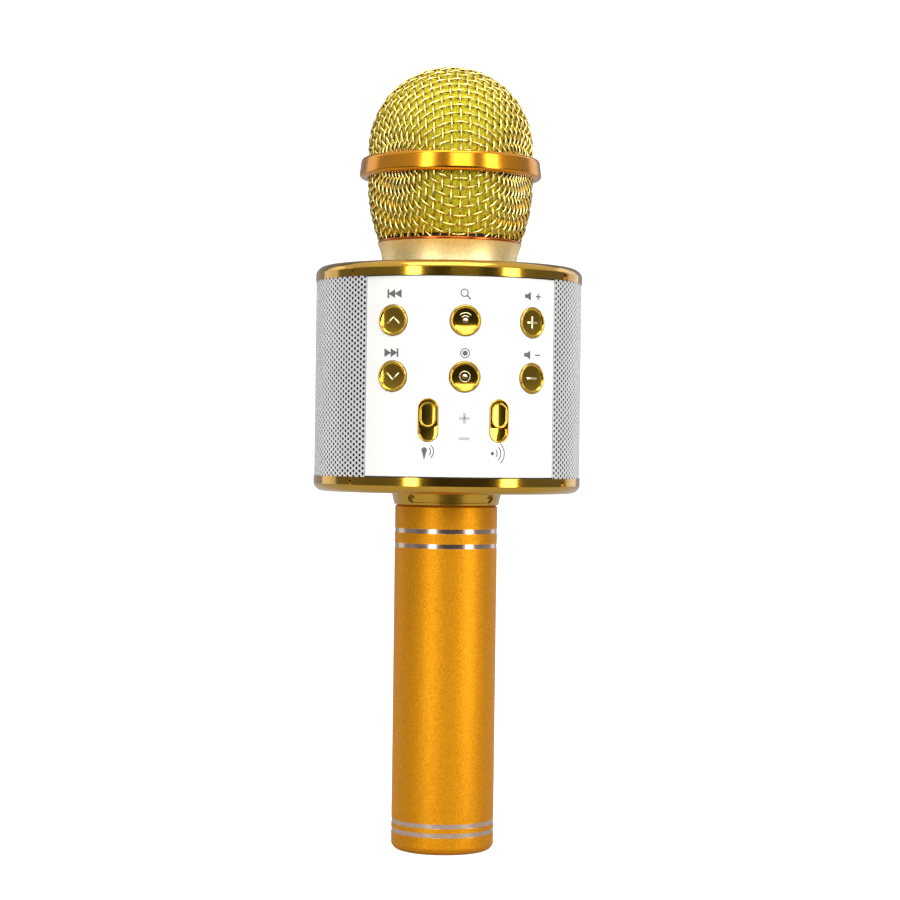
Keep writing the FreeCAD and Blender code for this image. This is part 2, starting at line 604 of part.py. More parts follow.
def front_board():
    board = block((f"-{board_half}", board_half), (f"-{board_face}", f"-{board_back}"),
                  (board_low, board_high))
    node(cut(board, *board_screw_bars("screw_radius")), "front_board")
    switches = []
    for side, drop in BUTTONS.values():
        x, z = f"({switch_top} * tan({side} * column_angle))", f"({drum_top} - {drop})"
        base = block((f"{x} - switch_width / 2", f"{x} + switch_width / 2"),
                     (f"-{switch_top} + 0.8", f"-{board_face}"),
                     (f"{z} - switch_width / 2", f"{z} + switch_width / 2"))
        plunger = place(new("Part::Cylinder", Radius="key_radius", Height="1"), x=x,
                        y=f"-{switch_top} + 1", z=z, roll=90)
        switches.append(fuse(base, plunger))
    node(group(*switches), "key_switches")


def speakers():
    rim = "(speaker_radius - rim_step)"
    basket_bore = f"({rim} - basket_wall)"
    throat = "(magnet_radius - 1)"
    ring_inner = f"({basket_bore} - roll_width)"
    cone_radius = f"({ring_inner} - surround_gap)"
    cap_round = "(cap_radius ^ 2 + cap_rise ^ 2) / (2 * cap_rise)"
    for name, side in SIDES.items():
        def set_in(piece, label):
            return node(place(piece, x=f"{side} * {baffle_back}", z=speaker_height, pitch=90 * side), label)

        half = "(speaker_radius - corner_step)"
        flange = block((f"-{half}", half), (f"-{half}", half), ("-flange_wall", 0))
        disc = cylinder("speaker_radius", "(-flange_wall)", "0")
        bowl = revolved([
            (throat, "-basket_depth"), ("magnet_radius", "-basket_depth"), (rim, "-flange_wall"),
            (basket_bore, "-flange_wall"), (throat, "-basket_depth + basket_wall"),
        ])
        bore = cylinder(basket_bore, "-flange_wall - 1", "1")
        holes = [place(new("Part::Cylinder", Radius="screw_radius", Height="flange_wall + 2"),
                       x=f"{screw_ring} * cos({angle})", y=f"{screw_ring} * sin({angle})",
                       z="-flange_wall - 1")
                 for angle in SPEAKER_SCREW_ANGLES]
        set_in(fuse(cut(fuse(flange, disc), bore, *holes), bowl), f"speaker_basket_{name}")
        back = "(-basket_depth - magnet_height)"
        set_in(revolved([
            (0, back), ("magnet_radius - 0.4", back), ("magnet_radius", f"{back} + 0.4"),
            ("magnet_radius", "-basket_depth"), (0, "-basket_depth"),
        ]), f"speaker_magnet_{name}")
        low = "(-flange_wall - cone_depth)"
        set_in(revolved([
            (0, low), ("cap_radius", f"{low} - cone_wall"), (cone_radius, "-flange_wall"),
            (cone_radius, "-flange_wall + cone_wall"), ("cap_radius", f"{low} + cone_wall", cap_round),
            (0, f"{low} + cone_wall + cap_rise"),
        ]), f"speaker_cone_{name}")
        set_in(revolved([
            (ring_inner, "-flange_wall"), (basket_bore, "-flange_wall"),
            (basket_bore, "-flange_wall + cone_wall", "roll_round"), (ring_inner, "-flange_wall + cone_wall"),
        ]), f"speaker_surround_{name}")


def rear_sockets():
    half = board_half
    board = block((f"-{half}", half), (rear_back, rear_face), (board_low, board_high))
    jack_half = "jack_body / 2"
    window = block((f"jack_offset - {jack_half}", f"jack_offset + {jack_half}"), (f"{rear_back} - 1",
                   f"{rear_face} + 1"), (f"{port_row} - {jack_half}", f"{port_row} + {jack_half}"))
    node(cut(board, window, *board_screw_bars("screw_radius")), "rear_board")
    reach = f"sqrt({panel_inner} ^ 2 - (jack_offset + {jack_half}) ^ 2) - port_gap"
    nose_end = f"sqrt({panel_outer} ^ 2 - (jack_offset + jack_nose) ^ 2)"
    body = block((f"jack_offset - {jack_half}", f"jack_offset + {jack_half}"),
                 (f"{rear_face} - jack_tail", reach),
                 (f"{port_row} - {jack_half}", f"{port_row} + {jack_half}"))
    nose = place(new("Part::Cylinder", Radius="jack_nose", Height=f"{nose_end} - {rear_face}"),
                 x="jack_offset", y=rear_face, z=port_row, roll=-90)
    bore = place(new("Part::Cylinder", Radius="jack_radius", Height=f"{nose_end} - {rear_face} + jack_tail"),
                 x="jack_offset", y=f"{rear_face} - jack_tail + 1", z=port_row, roll=-90)
    node(cut(fuse(body, nose), bore), "audio_jack")
    usb_end = f"sqrt({panel_outer} ^ 2 - (usb_width / 2) ^ 2)"
    outer = block(("-usb_width / 2", "usb_width / 2"), (rear_face, usb_end),
                  (f"{port_row} - usb_height / 2", f"{port_row} + usb_height / 2"))
    inner = block(("-usb_width / 2 + usb_wall", "usb_width / 2 - usb_wall"), (f"{usb_end} - usb_depth",
                  f"{usb_end} + 1"), (f"{port_row} - usb_height / 2 + usb_wall",
                                      f"{port_row} + usb_height / 2 - usb_wall"))
    tongue = block(("-usb_width / 2 + 1.6", "usb_width / 2 - 1.6"), (f"{usb_end} - usb_depth - 0.1",
                   f"{usb_end} - 1"), (f"{port_row}", f"{port_row} + 0.6"))
    node(fuse(cut(outer, inner), tongue), "charge_socket")
    card_end = f"sqrt({panel_inner} ^ 2 - (card_offset + card_width / 2) ^ 2) - port_gap"
    case = block(("-card_offset - card_width / 2", "-card_offset + card_width / 2"), (rear_face, card_end),
                 (f"{port_row} - card_height / 2", f"{port_row} + card_height / 2"))
    slot = block(("-card_offset - card_width / 2 + 0.5", "-card_offset + card_width / 2 - 0.5"),
                 (f"{rear_face} + 1", "drum_radius"),
                 (f"{port_row} - card_slot / 2", f"{port_row} + card_slot / 2"))
    node(cut(case, slot), "card_socket")
    lamp_end = f"({panel_outer} - lamp_step)"
    lamp = place(new("Part::Cylinder", Radius="lamp_radius", Height=f"{lamp_end} - {rear_face}"),
                 y=rear_face, z=f"{drum_base} + lamp_height", roll=-90)
    tip = place(new("Part::Sphere", Radius="lamp_radius"), y=lamp_end, z=f"{drum_base} + lamp_height")
    node(fuse(lamp, tip), "charge_lamp")


def power_switch():
    middle = f"({power_row} - power_travel / 2)"
    case = block(("-power_case_width / 2", "power_case_width / 2"), (rear_face, power_reach),
                 (f"{middle} - power_case_length / 2", f"{middle} + power_case_length / 2"))
    channel = block(("-lever_width / 2 - lever_gap", "lever_width / 2 + lever_gap"),
                    (f"{power_reach} - 2.5", f"{power_reach} + 1"),
                    (f"{middle} - power_travel / 2 - lever_length / 2 - lever_gap",
                     f"{middle} + power_travel / 2 + lever_length / 2 + lever_gap"))
    node(cut(case, channel), "power_switch_body")
    knob = place(pill("power_width", "power_length", f"({panel_inner} + power_lift)",
                      f"({panel_outer} + power_proud)"), z=power_row, yaw=180, roll=90)
    ridges = [block(("-power_width", "power_width"),
                    (f"{panel_outer} + power_proud - ridge_depth", "drum_radius + 1"),
                    (f"{power_row} + {step} * ridge_pitch - ridge_width / 2",
                     f"{power_row} + {step} * ridge_pitch + ridge_width / 2")) for step in (-1, 0, 1)]
    stalk = block(("-lever_width / 2", "lever_width / 2"), (f"{power_reach} - 2", f"{panel_inner} + 0.5"),
                  (f"{power_row} - lever_length / 2", f"{power_row} + lever_length / 2"))
    node(fuse(cut(knob, *ridges), stalk), "power_knob")


def fasteners():
    node(group(*[post("screw_radius", "screw_length", x, y) for x in (-1, 1) for y in (-1, 1)]),
         "frame_screws")
    node(group(*[screw(x, y, z, pitch=-90 * side) for side in SIDES.values()
                 for x, y, z in speaker_screw_places(side)]), "speaker_screws")
    node(group(*[screw(0, face, height, roll=roll) for height in board_screw_heights()
                 for face, roll in ((f"-{board_face}", 90), (rear_face, -90))]), "board_screws")


def leads(cell_top, capsule_base):
    rise = f"({drum_base} + 18)"
    node(lead([[(x, 0, cell_top), (x, 0, rise), (x, rear_back, rise)] for x in (-2, 2)], "lead_radius"),
         "battery_leads")
    fall = f"({drum_top} - 14)"
    node(lead([[(0, 0, capsule_base), (0, 0, fall), (0, rear_back, fall)]], "lead_radius * 1.5"),
         "microphone_lead")
    tab = f"({baffle_back} - basket_depth - 1.5)"
    node(lead([[(f"{side} * {tab}", "magnet_radius", speaker_height),
                (f"{side} * {tab}", rear_back, speaker_height)] for side in SIDES.values()],
              "lead_radius"), "speaker_leads")
    strip_low = f"({drum_top} - strip_drop)"
    node(block(("strip_inset", "strip_inset + strip_width"), (f"-{board_back}", rear_back),
               (strip_low, f"{strip_low} + strip_wall")), "board_cable")


cell_top = handle()
plates()
capsule_base = head()
shells()
body_frame()
push_buttons()
slide_controls()
front_board()
speakers()
rear_sockets()
power_switch()
fasteners()
leads(cell_top, capsule_base)
doc.recompute()

for piece in doc.Objects:
    if "Invalid" in piece.State or "Error" in piece.State:
        raise RuntimeError(f"{piece.Label} failed: {piece.State}")
for piece in NODES:
    if piece.Shape.isNull() or not piece.Shape.isValid() or not piece.Shape.Solids:
        raise RuntimeError(f"{piece.Label} has no sound solid")

os.makedirs("parts", exist_ok=True)
for piece in NODES:
    piece.Shape.exportStep(f"parts/{piece.Label}.step")
print(len(NODES), "nodes")
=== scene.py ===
"""The looks of a hand-held karaoke microphone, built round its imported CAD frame."""
import bpy
import json
import math
from mathutils import Matrix, Vector


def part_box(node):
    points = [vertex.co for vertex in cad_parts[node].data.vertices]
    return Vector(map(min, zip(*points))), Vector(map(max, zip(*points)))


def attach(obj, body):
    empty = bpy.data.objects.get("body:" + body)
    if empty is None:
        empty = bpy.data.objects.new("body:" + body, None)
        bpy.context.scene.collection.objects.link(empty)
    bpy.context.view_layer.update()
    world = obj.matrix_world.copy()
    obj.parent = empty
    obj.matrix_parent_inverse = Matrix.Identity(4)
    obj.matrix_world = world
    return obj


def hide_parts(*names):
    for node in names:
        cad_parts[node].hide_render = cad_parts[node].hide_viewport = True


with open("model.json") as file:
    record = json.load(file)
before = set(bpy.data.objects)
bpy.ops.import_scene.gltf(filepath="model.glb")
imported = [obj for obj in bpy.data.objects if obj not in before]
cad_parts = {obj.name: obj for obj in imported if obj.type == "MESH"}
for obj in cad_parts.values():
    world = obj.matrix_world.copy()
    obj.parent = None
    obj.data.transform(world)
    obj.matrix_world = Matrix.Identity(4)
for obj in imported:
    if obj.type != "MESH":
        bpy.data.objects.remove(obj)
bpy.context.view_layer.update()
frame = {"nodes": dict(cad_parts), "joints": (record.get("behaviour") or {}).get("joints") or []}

nodes = frame["nodes"]
ops = bpy.ops
MM = 0.001
FINE = 0.02 * MM  # the least radius and gap that stay apart when corners are merged

# ---------------------------------------------------------------- places read from the frame


def top(node):
    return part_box(node)[1].z


def base(node):
    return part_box(node)[0].z


def width(node):
    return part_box(node)[1].x


drum_low, drum_high = base("front_panel"), top("front_panel")
panel_radius = -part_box("front_panel")[0].y
grille_radius = width("speaker_grille_right")
lip_top = top("grille_base_ring")
ring_low = base("grille_ring")
head_radius = width("grille_dome")
dome_centre = top("grille_dome") - head_radius
tube_high = top("handle_tube")
PANEL_HALF_ANGLE = math.asin(width("front_panel") / panel_radius)

# ---------------------------------------------------------------- modelling by hand


def clear_selection():
    if bpy.context.object and bpy.context.object.mode != "OBJECT":
        ops.object.mode_set(mode="OBJECT")
    ops.object.select_all(action="DESELECT")


def take(piece):
    """Makes a piece the only one chosen."""
    clear_selection()
    piece.select_set(True)
    bpy.context.view_layer.objects.active = piece


def named(name):
    """The primitive just added, under its own name."""
    piece = bpy.context.object
    piece.name = name
    piece.data.name = name
    return piece


def edit(piece):
    take(piece)
    ops.object.mode_set(mode="EDIT")
    ops.mesh.select_all(action="SELECT")


def settle(piece):
    """Leaves edit mode and puts the piece's place into its mesh."""
    take(piece)
    ops.object.transform_apply(location=True, rotation=True, scale=True)
    return piece


def finish_with(piece, kind, **settings):
    """Adds a modifier, sets it and applies it."""
    take(piece)
    modifier = piece.modifiers.new(kind.title(), kind)
    for name, value in settings.items():
        setattr(modifier, name, value)
    ops.object.modifier_apply(modifier=modifier.name)
    return piece


def smooth(piece, angle=35):
    take(piece)
    ops.object.shade_smooth_by_angle(angle=math.radians(angle))
    return piece


def rounded(piece, radius, segments=3, angle=40):
    """Breaks the sharp edges of a piece with a small radius."""
    return finish_with(piece, "BEVEL", width=radius, segments=segments, limit_method="ANGLE",
                       angle_limit=math.radians(angle), harden_normals=False)


def join(name, pieces):
    clear_selection()
    for piece in pieces:
        piece.select_set(True)
    bpy.context.view_layer.objects.active = pieces[0]
    if len(pieces) > 1:
        ops.object.join()
    return settle(named(name))


def turned(name, outline, sides=160, edge=0.0):
    """A round piece: a ring pulled along an outline of (radius, height) corners, the top outside first."""
    clear_selection()
    radii = [max(radius, FINE) for radius, height in outline]
    heights = [height for radius, height in outline]
    ops.mesh.primitive_circle_add(vertices=sides, radius=radii[0], location=(0, 0, heights[0]))
    piece = named(name)
    edit(piece)
    for after in range(1, len(outline)):
        rise = heights[after] - heights[after - 1]
        grow = radii[after] / radii[after - 1]
        ops.mesh.extrude_region_move(TRANSFORM_OT_translate={"value": (0, 0, rise)})
        ops.transform.resize(value=(grow, grow, 1), center_override=(0, 0, heights[after]))
    ops.mesh.select_all(action="SELECT")
    ops.mesh.remove_doubles(threshold=FINE * 1.2 if min(radii) == FINE else FINE / 4)
    ops.mesh.normals_make_consistent(inside=False)
    settle(piece)
    if edge:
        rounded(piece, edge)
    return smooth(piece)


def arc(centre, radius, start, end, steps):
    """Corners along an arc of an outline, by angle from the radius direction in degrees."""
    turn = [math.radians(start + (end - start) * step / steps) for step in range(steps + 1)]
    return [(centre[0] + radius * math.cos(a), centre[1] + radius * math.sin(a)) for a in turn]


def bar(size, place, turn=0.0, edge=0.0):
    """A small block on the XY plane, turned about Z, with its edges broken."""
    clear_selection()
    ops.mesh.primitive_cube_add(size=1, location=place, rotation=(0, 0, turn))
    piece = bpy.context.object
    piece.scale = size
    settle(piece)
    if edge:
        rounded(piece, edge, segments=2)
    return piece


def pill(name, half_width, half_length, low, high, sides=64):
    """A round-ended block, its length along Y: a disc whose halves are pulled apart."""
    clear_selection()
    ops.mesh.primitive_cylinder_add(vertices=sides, radius=half_width, depth=high - low,
                                    location=(0, 0, (low + high) / 2), rotation=(0, 0, math.pi / sides))
    piece = settle(named(name))
    for vertex in piece.data.vertices:
        vertex.co.y += math.copysign(half_length - half_width, vertex.co.y)
    return piece


def choose_faces(piece, test):
    """Selects the faces whose centre and normal pass a test, and nothing else."""
    take(piece)
    ops.object.mode_set(mode="EDIT")
    ops.mesh.select_mode(type="FACE")
    ops.mesh.select_all(action="DESELECT")
    ops.object.mode_set(mode="OBJECT")
    for face in piece.data.polygons:
        face.select = test(face.center, face.normal)
    ops.object.mode_set(mode="EDIT")


def facing_out(angle, height):
    """The matrix that turns a piece's Z outwards at an angle from -Y, with its Y up, at a height."""
    return (Matrix.Translation((0, 0, height)) @ Matrix.Rotation(angle, 4, "Z")
            @ Matrix.Rotation(math.pi / 2, 4, "X"))


def moved(piece, matrix):
    piece.data.transform(matrix)
    return piece


def roll(piece, radius, angle):
    """Rolls a flat piece round the drum: its X becomes the way round, its Y height, its Z outwards."""
    for vertex in piece.data.vertices:
        across, up, out = vertex.co
        turn = angle + across / radius
        vertex.co = (math.sin(turn) * (radius + out), -math.cos(turn) * (radius + out), up)
    return piece


# ---------------------------------------------------------------- woven wire

WIRE_RADIUS = 0.28 * MM
WEAVE_PITCH = 2.85 * MM
CRIMP = 1.15  # how far a wire waves out and in, in wire radii
CUP_BULGE = 46 * MM  # the radius of the curve down the cup's side
WIRE_ENDS = {"dome": ring_low + 3.4 * MM, "cup": ring_low + 2.6 * MM, "lip": lip_top - 0.2 * MM}
wire_middle = head_radius - WIRE_RADIUS * (1 + CRIMP)
lip_middle = width("grille_base_ring") - 0.6 * MM

class Dome:
    """The ball head's upper half: a half sphere on a short straight wall."""
    pole = Vector((0, 0, 1))

    def __init__(self, radius):
        self.radius = radius
        self.centre = Vector((0, 0, dome_centre))
        self.start = self.centre + self.pole * radius

    def normal(self, point):
        away = point - self.centre
        if away.z < 0:
            away.z = 0
        return away.normalized()

    def land(self, point):
        low = min(point.z - dome_centre, 0)
        foot = Vector((0, 0, dome_centre + low))
        return foot + (point - foot).normalized() * self.radius

    def inside(self, point):
        return point.z > WIRE_ENDS["dome"]


class Cup:
    """The ball head's lower half: a barrel that closes below as a ball, cut off at the lip."""
    pole = Vector((0, 0, -1))

    def __init__(self, radius, lip):
        self.radius = radius
        rise = ring_low - lip_top
        half_chord = math.hypot(radius - lip, rise) / 2
        sink = math.sqrt(CUP_BULGE ** 2 - half_chord ** 2)
        lean = Vector((radius - lip, rise)).normalized()
        middle = Vector(((radius + lip) / 2, (ring_low + lip_top) / 2))
        self.hub = middle + Vector((-lean.y, lean.x)) * sink
        slope = (lip_top - self.hub.y) / (lip - self.hub.x)
        self.centre = Vector((0, 0, lip_top - lip * slope))
        self.ball = lip * math.hypot(1, slope)
        self.start = self.centre + self.pole * self.ball

    def wall(self, height):
        if height > ring_low:
            return self.radius
        return self.hub.x + math.sqrt(CUP_BULGE ** 2 - (height - self.hub.y) ** 2)

    def normal(self, point):
        if point.z < lip_top:
            return (point - self.centre).normalized()
        side = Vector((point.x, point.y, 0)).normalized()
        if point.z > ring_low:
            return side
        lean = (point.z - self.hub.y) / CUP_BULGE
        return (side * math.sqrt(1 - lean ** 2) + Vector((0, 0, lean))).normalized()

    def land(self, point):
        if point.z < lip_top:
            return self.centre + (point - self.centre).normalized() * self.ball
        side = Vector((point.x, point.y, 0)).normalized() * self.wall(point.z)
        return Vector((side.x, side.y, point.z))

    def inside(self, point):
        return WIRE_ENDS["lip"] < point.z < WIRE_ENDS["cup"]


def net(form, pitch, reach):
    """Crossings of a square weave pressed over a form: every side of every cell keeps the wires' pitch."""
    def settle_on(point, neighbours):
        for _ in range(40):
            pull = sum(((point - near).normalized() * pitch + near for near in neighbours), Vector())
            point = form.land(pull / len(neighbours))
        return point

    knots = {(0, 0): form.land(form.start)}
    for axis, way in (((1, 0), Vector((1, 0, 0))), ((0, 1), Vector((0, 1, 0)))):
        before, here = None, knots[0, 0]
        for step in range(1, reach):
            ahead = way if before is None else (here - before).normalized()
            before, here = here, settle_on(here + ahead * pitch, [here])
            knots[axis[0] * step, axis[1] * step] = here
    for i in range(1, reach):
        for j in range(1, reach):
            corner, left, right = (knots.get(k) for k in ((i - 1, j - 1), (i - 1, j), (i, j - 1)))
            if corner is None or left is None or right is None:
                continue
            if (left - right).length > 1.995 * pitch:
                continue
            knots[i, j] = settle_on(left + right - corner, [left, right])
    whole = {}
    for (i, j), point in knots.items():
        for x in (-1, 1):
            for y in (-1, 1):
                whole[i * x, j * y] = Vector((point.x * x, point.y * y, point.z))
    return whole


def wire_path(form, knots, sign, crimp, steps=4):
    """A wire through its crossings, waving out and in, kept to the part inside the piece."""
    path = []
    for index in range(len(knots) - 1):
        p0 = knots[max(index - 1, 0)]
        p1, p2 = knots[index], knots[index + 1]
        p3 = knots[min(index + 2, len(knots) - 1)]
        for step in range(steps):
            t = step / steps
            point = 0.5 * ((2 * p1) + (p2 - p0) * t + (2 * p0 - 5 * p1 + 4 * p2 - p3) * t ** 2
                           + (3 * p1 - p0 - 3 * p2 + p3) * t ** 3)
            wave = sign * (-1) ** index * math.cos(math.pi * t) * crimp
            path.append(form.land(point) + form.normal(point) * wave)
    return path


def woven(name, form, pitch, wire_radius, reach):
    """Two families of crimped wires over and under each other, as one piece of round wire."""
    knots = net(form, pitch, reach)
    curve = bpy.data.curves.new(name, "CURVE")
    curve.dimensions = "3D"
    curve.bevel_depth = wire_radius
    curve.bevel_resolution = 1
    curve.use_fill_caps = True
    for family in (0, 1):
        for line in range(-reach, reach + 1):
            keys = [(k, line) if family == 0 else (line, k) for k in range(-reach, reach + 1)]
            runs, run = [], []
            for key in keys:
                if key in knots:
                    run.append(key)
                elif run:
                    runs.append(run)
                    run = []
            runs.append(run)
            for run in runs:
                if len(run) < 2:
                    continue
                sign = (1 if family == 0 else -1) * (-1) ** (run[0][0] + run[0][1])
                path = wire_path(form, [knots[key] for key in run], sign, wire_radius * CRIMP)
                stretch = []
                for point in path + [None]:
                    if point is not None and form.inside(point):
                        stretch.append(point)
                        continue
                    if len(stretch) > 2:
                        spline = curve.splines.new("POLY")
                        spline.points.add(len(stretch) - 1)
                        for knot, place in zip(spline.points, stretch):
                            knot.co = (*place, 1)
                    stretch = []
    piece = bpy.data.objects.new(name, curve)
    bpy.context.scene.collection.objects.link(piece)
    take(piece)
    ops.object.convert(target="MESH")
    piece = bpy.context.object
    edit(piece)
    ops.mesh.normals_make_consistent(inside=False)
    settle(piece)
    # Each point's depth is how far it stands out from the weave's middle, in wire radii. The gold wire's
    # finish paints shade and highlight from it.
    depth = piece.data.attributes.new("depth", "FLOAT", "POINT")
    for vertex, value in zip(piece.data.vertices, depth.data):
        spot = form.land(vertex.co)
        value.value = (vertex.co - spot).dot(form.normal(spot)) / wire_radius
    return smooth(piece, 60)


# ---------------------------------------------------------------- finishes


class Signal:
    """A shader socket that can stand in a sum."""

    def __init__(self, finish, socket):
        self.finish = finish
        self.socket = socket

    def sum(self, operation, first, second):
        return self.finish.node("ShaderNodeMath", {"operation": operation}, {0: first, 1: second})

    def __add__(self, other):
        return self.sum("ADD", self, other)

    def __sub__(self, other):
        return self.sum("SUBTRACT", self, other)

    def __mul__(self, other):
        return self.sum("MULTIPLY", self, other)

    def __truediv__(self, other):
        return self.sum("DIVIDE", self, other)

    def __lt__(self, other):
        return self.sum("LESS_THAN", self, other)

    def __rsub__(self, other):
        return self.sum("SUBTRACT", other, self)

    def __rtruediv__(self, other):
        return self.sum("DIVIDE", other, self)

    __radd__ = __add__
    __rmul__ = __mul__


class Recipe:
    """A tree of shader nodes, built up one node at a time."""

    def __init__(self, owner):
        owner.use_nodes = True
        self.tree = owner.node_tree

    def node(self, kind, settings=None, inputs=None, output=0):
        """Adds a node: its settings first, then the values or links of its sockets."""
        made = self.tree.nodes.new(kind)
        for name, value in (settings or {}).items():
            if name == "stops":
                while len(made.color_ramp.elements) < len(value):
                    made.color_ramp.elements.new(0.5)
                for element, (position, colour) in zip(made.color_ramp.elements, value):
                    element.position = position
                    element.color = (*colour, 1)
            else:
                setattr(made, name, value)
        for name, value in (inputs or {}).items():
            self.feed(made.inputs[name], value)
        return Signal(self, made.outputs[output])

    def feed(self, socket, value):
        if isinstance(value, Signal):
            self.tree.links.new(value.socket, socket)
        elif socket.type == "RGBA" and len(value) == 3:
            socket.default_value = (*value, 1)
        else:
            socket.default_value = value

    def blend(self, amount, first, second):
        return self.node("ShaderNodeMix", {"data_type": "RGBA"}, {0: amount, 6: first, 7: second}, output=2)

    def ramp(self, amount, *stops):
        return self.node("ShaderNodeValToRGB", {"stops": stops}, {"Fac": amount}, output="Color")


class Finish(Recipe):
    """One procedural material, on the piece's own coordinates."""

    def __init__(self, name, **constants):
        self.material = bpy.data.materials.new(name)
        super().__init__(self.material)
        self.surface = self.tree.nodes["Principled BSDF"]
        for socket, value in constants.items():
            self.set(socket.replace("_", " ").title().replace("Ior", "IOR"), value)
        self.place = self.node("ShaderNodeTexCoord", output="Object")

    def set(self, socket, value):
        self.feed(self.surface.inputs[socket], value)

    def stretched(self, scale, turn=(0, 0, 0)):
        return self.node("ShaderNodeMapping", {}, {"Vector": self.place, "Scale": scale, "Rotation": turn})

    def noise(self, scale, detail=3, rough=0.55, along=None):
        return self.node("ShaderNodeTexNoise", {}, {"Vector": along or self.place, "Scale": scale,
                                                    "Detail": detail, "Roughness": rough}, output="Fac")

    def cells(self, scale, feature="F1", along=None):
        return self.node("ShaderNodeTexVoronoi", {"feature": feature},
                         {"Vector": along or self.place, "Scale": scale}, output="Distance")

    def axis(self, name):
        return self.node("ShaderNodeSeparateXYZ", {}, {"Vector": self.place}, output=name)

    def bump(self, height, strength=0.3, depth=0.1 * MM):
        self.set("Normal", self.node("ShaderNodeBump", {}, {
            "Height": height, "Strength": strength, "Distance": depth}, output="Normal"))


def gold_wire():
    """Plated wire with painted light: a painted highlight on its crests and painted shade where it dips
    behind its neighbours.
    """
    finish = Finish("gold_wire", metallic=1.0)
    wear = finish.noise(260, 4)
    patches = finish.noise(60, 2)
    depth = finish.node("ShaderNodeAttribute", {"attribute_name": "depth"}, output="Fac")
    # Base colour from how far the wire stands out: painted shade (dark brown) where it dips behind its
    # neighbours and a painted highlight (pale cream) on its crests, varied a little at random by the patches.
    painted_wire_light_and_band_wear = finish.ramp(depth / 4.6 + 0.5 + (patches - 0.5) * 0.2,
                       (0.16, (0.06, 0.022, 0.001)), (0.42, (0.24, 0.12, 0.006)),
                       (0.62, (0.74, 0.50, 0.075)), (0.84, (1.0, 0.88, 0.38)))
    finish.set("Base Color", painted_wire_light_and_band_wear)
    finish.set("Roughness", wear * 0.16 + 0.18)
    finish.bump(finish.noise(2600, 2), 0.08)
    return finish


def windscreen_foam():
    finish = Finish("windscreen_foam", metallic=0.0, specular_ior_level=0.2)
    pores = finish.cells(1500)
    broad = finish.noise(110, 3)
    lit = finish.blend(broad, (0.60, 0.52, 0.012), (0.74, 0.64, 0.03))
    # Base colour: the dark spots in the pores are painted shade. The two yellow tones around them are the
    # foam's own uneven colour.
    finish.set("Base Color", finish.blend(finish.ramp(pores, (0.0, (1, 1, 1)), (0.5, (0, 0, 0))),
                                          lit, (0.36, 0.28, 0.006)))
    finish.set("Roughness", pores * 0.2 + 0.78)
    finish.bump(pores, 0.9, 0.3 * MM)
    return finish


def brushed_gold():
    finish = Finish("brushed_gold", metallic=1.0, coat_weight=0.35, coat_roughness=0.2)
    lines = finish.noise(1.0, 3, 0.6, finish.stretched((60, 60, 9000)))
    tone = finish.noise(40, 2)
    finish.set("Base Color", finish.blend(tone, (0.62, 0.22, 0.001), (0.72, 0.29, 0.004)))
    finish.set("Roughness", lines * 0.10 + 0.15)
    finish.bump(lines, 0.10, 0.02 * MM)
    return finish


def copper_lip():
    finish = Finish("copper_lip", metallic=1.0)
    stain = finish.noise(200, 3)
    finish.set("Base Color", finish.blend(stain, (0.36, 0.075, 0.01), (0.50, 0.14, 0.02)))
    finish.set("Roughness", stain * 0.15 + 0.15)
    return finish


def satin_gold():
    finish = Finish("satin_gold", metallic=1.0)
    grain = finish.cells(2600)
    tone = finish.noise(70, 2)
    speck = finish.ramp(finish.noise(1100, 4, 0.7), (0.38, (0, 0, 0)), (0.66, (1, 1, 1)))
    base = finish.blend(tone, (0.80, 0.64, 0.28), (0.90, 0.77, 0.42))
    finish.set("Base Color", finish.blend(speck * 0.6, base, (1.0, 0.93, 0.66)))
    finish.set("Roughness", grain * 0.2 + 0.36)
    finish.bump(grain + speck, 0.30, 0.05 * MM)
    return finish


def plated_gold(name, colour, deep, rough):
    finish = Finish(name, metallic=1.0, coat_weight=0.5, coat_roughness=0.03)
    haze = finish.noise(90, 3)
    scratches = finish.noise(3.0, 2, 0.5, finish.stretched((900, 40, 300), (0.3, 0.2, 0.5)))
    finish.set("Base Color", finish.blend(haze, colour, deep))
    finish.set("Roughness", haze * 0.05 + scratches * 0.04 + rough)
    return finish


def anodised_handle():
    finish = Finish("anodised_handle")
    height = finish.axis("Z")
    grain = finish.cells(2100)
    speckle = finish.noise(2700, 3, 0.7)
    drift = finish.noise(18, 2)
    painted_wire_light_and_band_wear = finish.noise(3.0, 3, 0.6, finish.stretched((260, 260, 18)))
    contrast = finish.ramp(speckle, (0.32, (0, 0, 0)), (0.68, (1, 1, 1)))
    body = finish.blend(contrast, (0.48, 0.175, 0.001), (0.92, 0.405, 0.014))
    body = finish.blend(drift * 0.35, body, (0.68, 0.27, 0.004))
    bands = None
    for middle in band_heights:
        offset = finish.node("ShaderNodeMath", {"operation": "ABSOLUTE"}, {0: height - middle})
        inside = offset < BAND_WIDTH / 2
        bands = inside if bands is None else bands + inside
    champagne = finish.blend(painted_wire_light_and_band_wear, (0.66, 0.53, 0.44), (0.46, 0.33, 0.25))
    finish.set("Base Color", finish.blend(bands, body, champagne))
    finish.set("Metallic", bands * 0.06 + 0.94)
    finish.set("Roughness", (1 - bands) * (grain * 0.18 + 0.42) + bands * (painted_wire_light_and_band_wear * 0.10 + 0.16))
    finish.bump((1 - bands) * (grain + speckle * 0.5), 0.22, 0.05 * MM)
    return finish


def gloss_white():
    finish = Finish("gloss_white", metallic=0.0, coat_weight=0.12, coat_roughness=0.12)
    tone = finish.noise(30, 2)
    peel = finish.noise(420, 2)
    finish.set("Base Color", finish.blend(tone, (0.87, 0.855, 0.82), (0.84, 0.825, 0.785)))
    finish.set("Roughness", peel * 0.08 + 0.42)
    finish.bump(peel, 0.03, 0.03 * MM)
    return finish


